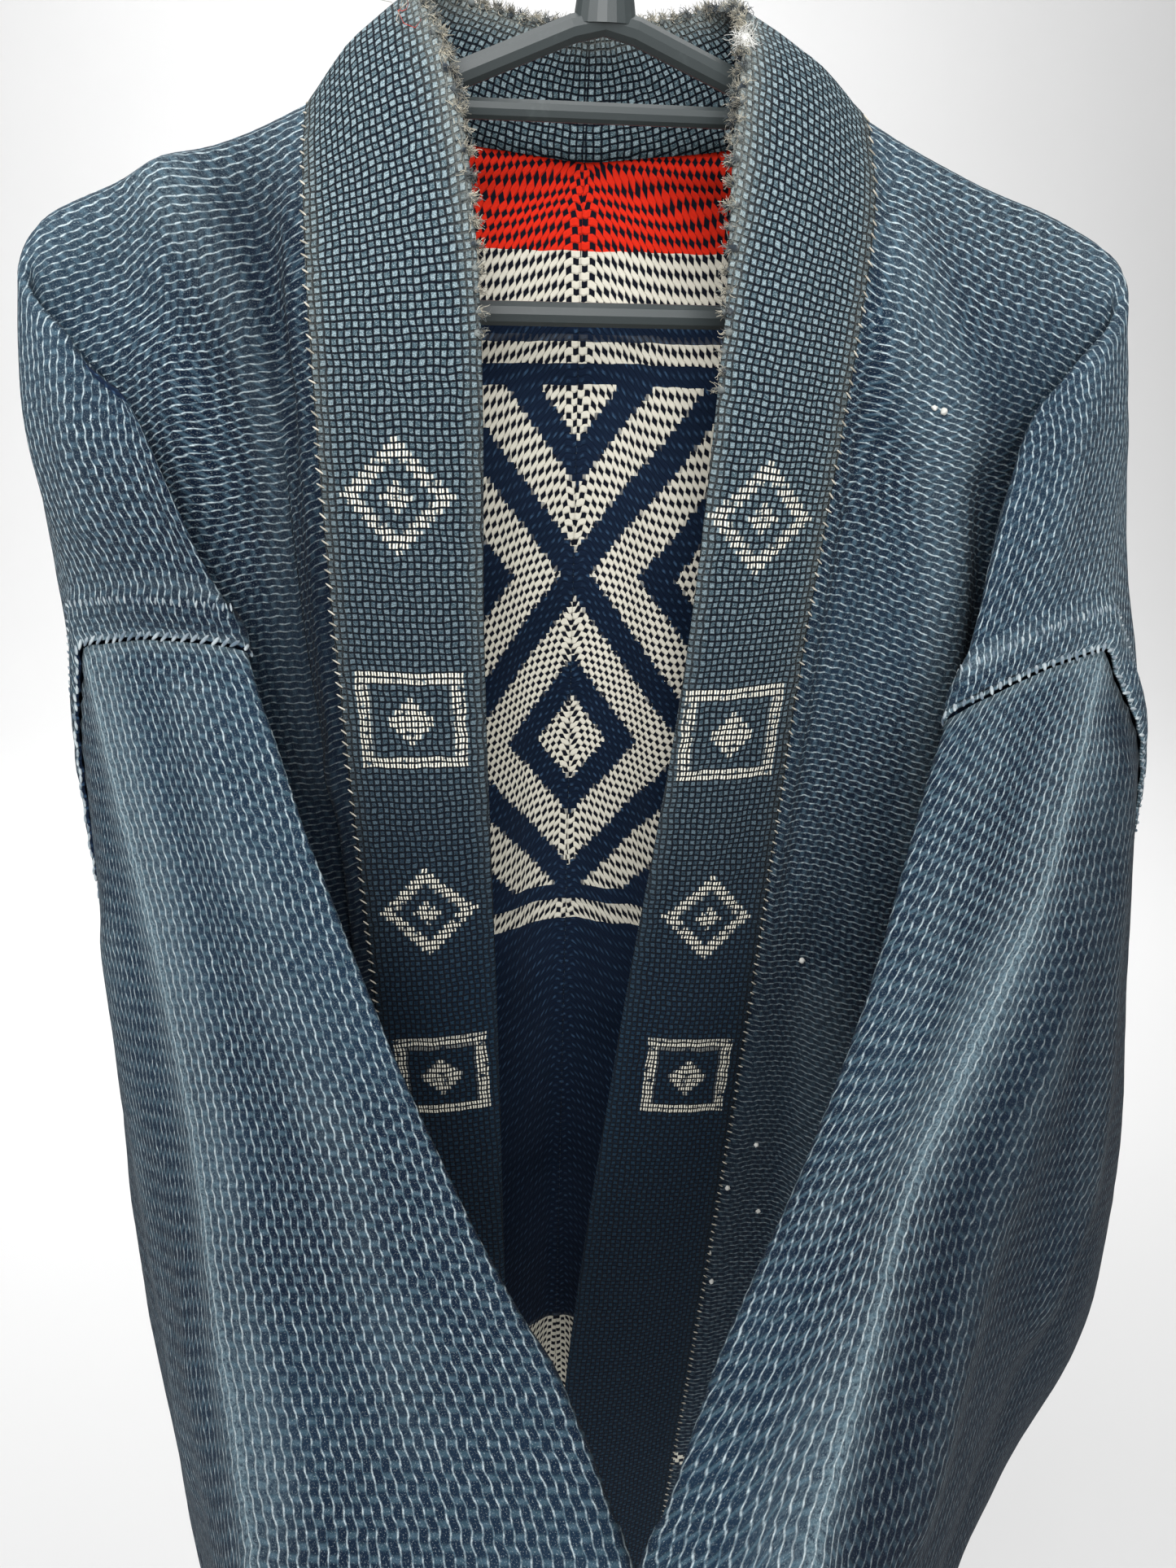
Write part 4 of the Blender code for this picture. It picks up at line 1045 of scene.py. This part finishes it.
def makeCollar():
    c = collarPiece
    heights = [-h for h in cut["frontRows"]] + list(c["neckSteps"])
    rows = [collarSection("left", h) for h in heights] + [collarSection("right", cut["neckBack"])]
    rows += [collarSection("right", h) for h in reversed(heights)]
    cage = np.array(rows)
    keys = lengthAlong(cage[:, 2:3], 0)[:, 0]
    middle = keys[len(heights)]
    shoulder = middle - keys[heights.index(0)]
    wanted = np.linspace(0, keys[-1], int(keys[-1] / c["step"]))
    p = curveThrough(keys, cage, wanted)
    p = curveThrough(np.arange(5), p.swapaxes(0, 1), np.linspace(0, 4, c["across"])).swapaxes(0, 1)
    normal = -gridNormals(p, False)
    inner = lengthAlong(p, 1)
    down = np.repeat((np.abs(wanted - middle) - shoulder)[:, None], p.shape[1], 1)
    share = np.linspace(0, 1, c["across"])[None, :]
    room = c["seamRoom"] * np.exp(-(inner[:, -1:] - inner) / c["roomFade"])
    out = c["half"] + room + c["puff"] * np.sin(np.pi * share)
    smallRise, smallSize = c["small"]
    out = out + smallRise * unevenness(inner, down, smallSize, 41.0)
    outerSide = (p + normal * out[..., None])[:, ::-1]
    innerSide = p - normal * (c["half"] + room)[..., None]
    edge = p[:, 0] - p[:, 1]
    edge = edge / np.linalg.norm(edge, axis=-1, keepdims=True)
    turn = []
    for angle in c["turnAngles"]:
        a = math.radians(angle)
        turn.append(p[:, 0] + normal[:, 0] * c["half"] * math.cos(a) + edge * c["half"] * math.sin(a))
    band = np.concatenate([outerSide, np.stack(turn, 1), innerSide], 1)
    bandOut = np.concatenate([normal[:, ::-1], np.repeat(edge[:, None], 3, 1), -normal], 1)
    around = lengthAlong(band, 1)
    v = np.repeat(down[:, :1], band.shape[1], 1)
    fold = around[:, c["across"] + 1:c["across"] + 2]
    frayed = smoothStep(v, *c["frayed"])
    (plainWear, frayWear), (plainWidth, frayWidth) = c["edgeWear"], c["edgeWidth"]
    width = plainWidth + frayWidth * frayed
    wear = (plainWear + frayWear * frayed) * np.exp(-(((around - fold) / width) ** 2))
    seamWear, seamWidth = c["seamWear"]
    wear += seamWear * np.exp(-around / seamWidth)
    obj = sheetMesh("collarBand", band, {"cloth": (around, v)}, {"wear": wear}, c["wall"], [look["collar"]])
    finishPiece(obj, ["collar"])
    print(obj.name, "length", keys[-1].round(1), "round", around[:, -1].mean().round(2))
    return {"points": band, "normal": bandOut, "v": v, "fold": c["across"] + 1}


sleeveRings = {
    "right": sleeveControls(sleeveStations["sleeveRight"], 1),
    "left": sleeveControls(sleeveStations["sleeveLeft"], -1),
}
bodies = {}
for sideName in ("right", "left"):
    bodies[sideName] = makeBody(sideName, sleeveRings[sideName])
    makeSleeve(sideName, sleeveRings[sideName])
band = makeCollar()
print("cloth ready")


# sewing, fray and lint: one small model, copied to its places

def smallModel(kind):
    bpy.ops.object.select_all(action="DESELECT")
    if kind == "stitch":
        bpy.ops.mesh.primitive_uv_sphere_add(segments=8, ring_count=6, radius=1)
    elif kind == "tuft":
        bpy.ops.mesh.primitive_ico_sphere_add(subdivisions=2, radius=1)
    else:
        bpy.ops.mesh.primitive_cone_add(
            vertices=3, radius1=1, radius2=0.4, depth=1, location=(0, 0, 0.5), end_fill_type="NOTHING"
        )
    obj = bpy.context.active_object
    if kind == "hair":
        bpy.ops.object.mode_set(mode="EDIT")
        bpy.ops.mesh.select_mode(type="EDGE")
        bpy.ops.mesh.select_all(action="DESELECT")
        shape = bmesh.from_edit_mesh(obj.data)
        for line in shape.edges:
            line.select_set(abs(line.verts[0].co.z - line.verts[1].co.z) > 0.5)
        bmesh.update_edit_mesh(obj.data)
        bpy.ops.mesh.subdivide(number_cuts=4)
        bpy.ops.object.mode_set(mode="OBJECT")
    bpy.ops.object.transform_apply(location=True, rotation=True, scale=True)
    points = np.array([tuple(v.co) for v in obj.data.vertices])
    faces = [tuple(f.vertices) for f in obj.data.polygons]
    bpy.data.objects.remove(obj, do_unlink=True)
    return points, faces


def placeCopies(name, model, places, material):
    points, faces = model
    allPoints, allFaces = [], []
    for n, (centre, axes, shape) in enumerate(places):
        local = shape(points) if callable(shape) else points * np.array(shape)
        allPoints.append(np.asarray(centre) + local @ np.array(axes))
        allFaces += [tuple(i + n * len(points) for i in f) for f in faces]
    mesh = bpy.data.meshes.new(name)
    mesh.from_pydata((np.concatenate(allPoints) * cm).tolist(), [], allFaces)
    mesh.shade_smooth()
    obj = bpy.data.objects.new(name, mesh)
    bpy.context.scene.collection.objects.link(obj)
    mesh.materials.append(material)
    finishPiece(obj)


def unit(v):
    return v / max(np.linalg.norm(v), 1e-9)


def runOfStitches(path, normals, spacing, size, slant, rise, seed):
    dice = np.random.RandomState(seed)
    length = np.concatenate([[0], np.cumsum(np.linalg.norm(np.diff(path, axis=0), axis=1))])
    places = []
    at = spacing / 2
    while at < length[-1]:
        here = np.array([np.interp(at, length, path[:, k]) for k in range(3)])
        ahead = np.array([np.interp(at + 0.1, length, path[:, k]) for k in range(3)])
        out = unit(np.array([np.interp(at, length, normals[:, k]) for k in range(3)]))
        along = unit(ahead - here)
        side = unit(np.cross(out, along))
        a = math.radians(slant + dice.uniform(-9, 9))
        lie = along * math.cos(a) + side * math.sin(a)
        cross = np.cross(out, lie)
        grow = dice.uniform(0.85, 1.15)
        places.append((here + out * rise, (lie, cross, out), (size[0] * grow, size[1], size[2])))
        at += spacing * dice.uniform(0.88, 1.12)
    return places


# a kind of stitch: spacing, half sizes, slant, height over the cloth, seed
sewing = {
    "seam": (0.40, (0.23, 0.075, 0.06), 58, 0.09, 11),
    "row": (0.34, (0.17, 0.045, 0.035), 80, 0.08, 12),
    "hem": (0.9, (0.17, 0.035, 0.03), 0, 0.085, 13),
    "collar": (0.50, (0.17, 0.035, 0.03), 55, 0.06, 14),
    "rowInset": 1.78, "frontHemRow": 3, "backHemRow": -4, "armholeEnd": 0.6,
}


def sewPieces():
    stitch = smallModel("stitch")
    w = sewing
    for side in ("right", "left"):
        b = bodies[side]
        end = side.capitalize()
        rows = np.where(np.abs(b["h"][:, 0]) < cut["armhole"] - w["armholeEnd"])[0]
        seam = runOfStitches(b["points"][rows, -1], b["normal"][rows, -1], *w["seam"])
        placeCopies("armholeSeam" + end, stitch, seam, look["seamThread"])
        near = np.argmin(np.abs(b["outer"][rows] - w["rowInset"]), axis=1)
        row = runOfStitches(b["points"][rows, near], b["normal"][rows, near], *w["row"])
        placeCopies("allowanceStitches" + end, stitch, row, look["seamThread"])
        hems = []
        for r in (w["frontHemRow"], w["backHemRow"]):
            hems += runOfStitches(b["points"][r], b["normal"][r], *w["hem"])
        placeCopies("hemStitches" + end, stitch, hems, look["seamThread"])
    long = runOfStitches(band["points"][:, 0], band["normal"][:, 0], *w["collar"])
    placeCopies("collarSeamStitches", stitch, long, look["beigeThread"])
    print("sewing ready", len(long))


# broken yarn ends along the collar's fold, thinning out down the front
fray = {
    "reach": 11.5, "gap": 0.075, "core": (0.07, 0.13), "paleShare": 0.6,
    "hairs": 17, "hair": (0.16, 0.42), "hairRadius": 0.02,
}


def frayCollar():
    f = fray
    dice = np.random.RandomState(7)
    rows = np.where(band["v"][:, 0] < f["reach"])[0]
    edge, out = band["points"][rows, band["fold"]], band["normal"][rows, band["fold"]]
    side = band["normal"][rows, 0]
    weight = np.clip(1.3 - np.maximum(band["v"][rows, 0], 0) / f["reach"], 0.12, 1)
    length = np.concatenate([[0], np.cumsum(np.linalg.norm(np.diff(edge, axis=0), axis=1))])
    cores, pale, dark = [], [], []
    at = 0.0
    while at < length[-1]:
        i = min(int(np.searchsorted(length, at)), len(rows) - 1)
        at += f["gap"] * dice.uniform(0.4, 1.6)
        if dice.rand() > weight[i]:
            continue
        centre = edge[i] + side[i] * dice.uniform(-0.22, 0.24) + out[i] * dice.uniform(-0.05, 0.03)
        turn = np.linalg.qr(dice.normal(size=(3, 3)))[0]
        cores.append((centre, turn, lump(dice.uniform(*f["core"]), dice.uniform(0, 50))))
        lean = unit(out[i] + dice.normal(size=3) * 0.6)
        bundle = pale if dice.rand() < f["paleShare"] else dark
        for n in range(int(f["hairs"] * weight[i] * dice.uniform(0.5, 1.3))):
            start = centre + dice.normal(size=3) * 0.035
            along = unit(lean + dice.normal(size=3) * 0.55)
            bundle.append(looseHair(start, along, dice, f["hair"], f["hairRadius"]))
    placeCopies("collarTufts", smallModel("tuft"), cores, look["darkFuzz"])
    hair = smallModel("hair")
    placeCopies("collarFray", hair, pale, look["fuzz"])
    placeCopies("collarFrayDark", hair, dark, look["darkFuzz"])
    print("fray ready", len(cores), len(pale), len(dark))


def lump(radius, seed):
    def shape(points):
        bumps = [noise.noise(Vector(p) * 1.9 + Vector((seed, 0, 0))) for p in points]
        return points * (radius * (1 + 0.55 * np.array(bumps)))[:, None]
    return shape


def looseHair(centre, along, dice, lengths, radius):
    side = unit(np.cross(along, dice.normal(size=3)))
    length = dice.uniform(*lengths)
    curl, twist, turns = dice.uniform(-0.4, 0.4), dice.uniform(0.05, 0.22), dice.uniform(2, 7)

    def shape(points):
        t = points[:, 2]
        x = points[:, 0] * radius + length * (curl * t**2 + twist * (np.cos(t * turns) - 1))
        y = points[:, 1] * radius + length * twist * np.sin(t * turns)
        return np.stack([x, y, t * length], 1)
    return centre, (side, np.cross(along, side), along), shape


lint = {
    "specks": [
        (8.7, -3.1, -55.2), (7.4, -3.5, -57.5), (9.2, -3.0, -59.7), (6.8, -3.6, -61.8), (7.1, -3.5, -64.0),
        (10.0, -2.8, -44.8), (12.8, -2.2, -20.5), (12.6, -2.2, -20.3),
    ],
    "ball": (4.5, -1.7, -8.7), "ballRadius": 0.42, "ballHairs": 170, "ballHair": (0.25, 0.55),
    "loose": (-6.9, -1.0, -8.2), "looseCount": 5, "looseHair": (1.0, 2.0),
}


def scatterLint():
    dice = np.random.RandomState(19)
    tuft, hair = smallModel("tuft"), smallModel("hair")
    b = bodies["right"]
    flat = b["points"].reshape(-1, 3)
    specks = []
    for place in lint["specks"]:
        i = int(np.argmin(np.linalg.norm(flat - np.array(place), axis=1)))
        centre = flat[i] + b["normal"].reshape(-1, 3)[i] * 0.1
        turn = np.linalg.qr(dice.normal(size=(3, 3)))[0]
        specks.append((centre, turn, lump(dice.uniform(0.09, 0.14), dice.uniform(0, 9))))
    placeCopies("lintSpecks", tuft, specks, look["lint"])
    ball = []
    centre, radius = np.array(lint["ball"]), lint["ballRadius"]
    for n in range(lint["ballHairs"]):
        start = centre + unit(dice.normal(size=3)) * radius * dice.uniform(0.15, 0.75)
        ball.append(looseHair(start, unit(dice.normal(size=3)), dice, lint["ballHair"], 0.016))
    placeCopies("lintBall", hair, ball, look["lint"])
    core = [(centre, np.eye(3), lump(radius * 0.55, 3.0))]
    placeCopies("lintBallCore", tuft, core, look["lint"])
    loose = []
    for n in range(lint["looseCount"]):
        along = unit(np.array([dice.uniform(-0.6, 0.9), -0.8, dice.uniform(-0.2, 0.9)]))
        loose.append(looseHair(np.array(lint["loose"]), along, dice, lint["looseHair"], 0.02))
    placeCopies("looseThreads", hair, loose[:3], look["beigeThread"])
    placeCopies("looseRedThread", hair, loose[3:], look["redThread"])
    print("lint ready")


sewPieces()
frayCollar()
scatterLint()


# hanger, floor and light

hangerPiece = {"round": 0.0007, "segments": 3, "angle": 30}


def dressHanger():
    for node, name, material, slot in (
        ("hanger_frame", "hangerFrame", look["plastic"], "hanger_plastic"),
        ("hanger_hook", "hangerHook", look["steel"], "hook_steel"),
    ):
        solid = bpy.data.objects[node]
        obj = bpy.data.objects.new(name, solid.data.copy())
        bpy.context.scene.collection.objects.link(obj)
        obj.data.transform(solid.matrix_world)
        obj.data.materials.clear()
        obj.data.materials.append(material)
        selectOnly(obj)
        if node == "hanger_frame":
            soft = obj.modifiers.new("round", "BEVEL")
            soft.width = hangerPiece["round"]
            soft.segments = hangerPiece["segments"]
            soft.angle_limit = math.radians(hangerPiece["angle"])
            bpy.ops.object.modifier_apply(modifier="round")
        obj.data.shade_smooth()
        bpy.ops.object.shade_smooth_by_angle(angle=math.radians(50))
        finishPiece(obj, [node])


studio = {
    "floor": -1.35, "bend": 2.4, "radius": 1.6, "sky": 0.44,
    "lights": [
        ((-0.55, -1.0, 0.95), (0, 0, -0.25), 1.0, 21), ((0.0, -1.1, 0.15), (-0.05, 0.1, -0.2), 0.5, 9),
        ((0, 1.3, 0.9), (0, 4, -0.6), 2.2, 54), ((0, 1.6, 1.6), (0, 1.6, -2), 2.2, 38),
    ],
}


def makeStudio():
    s = studio
    bpy.ops.object.select_all(action="DESELECT")
    bpy.ops.mesh.primitive_grid_add(x_subdivisions=8, y_subdivisions=120, size=26, location=(0, 2, 0))
    floor = bpy.context.active_object
    floor.name = "studioFloor"
    bpy.ops.object.transform_apply(location=True, rotation=True, scale=True)
    for v in floor.data.vertices:
        past = v.co.y - s["bend"]
        angle = min(max(past, 0) / s["radius"], math.pi / 2)
        wall = max(past - s["radius"] * math.pi / 2, 0)
        if past > 0:
            v.co.y = s["bend"] + s["radius"] * math.sin(angle)
        v.co.z = s["floor"] + s["radius"] * (1 - math.cos(angle)) + wall
    floor.data.shade_smooth()
    floor.data.materials.append(look["ground"])
    for n, (place, target, size, power) in enumerate(s["lights"]):
        data = bpy.data.lights.new(f"softLight{n}", "AREA")
        data.energy = power
        data.size = size
        lamp = bpy.data.objects.new(f"softLight{n}", data)
        bpy.context.scene.collection.objects.link(lamp)
        lamp.location = place
        lamp.rotation_euler = (Vector(target) - Vector(place)).to_track_quat("-Z", "Y").to_euler()
    world = bpy.data.worlds.new("studio")
    world.use_nodes = True
    world.node_tree.nodes["Background"].inputs[0].default_value = (1, 1, 1, 1)
    world.node_tree.nodes["Background"].inputs[1].default_value = s["sky"]
    bpy.context.scene.world = world
    bpy.context.scene.view_settings.view_transform = "Standard"


dressHanger()
makeStudio()
print("studio ready")
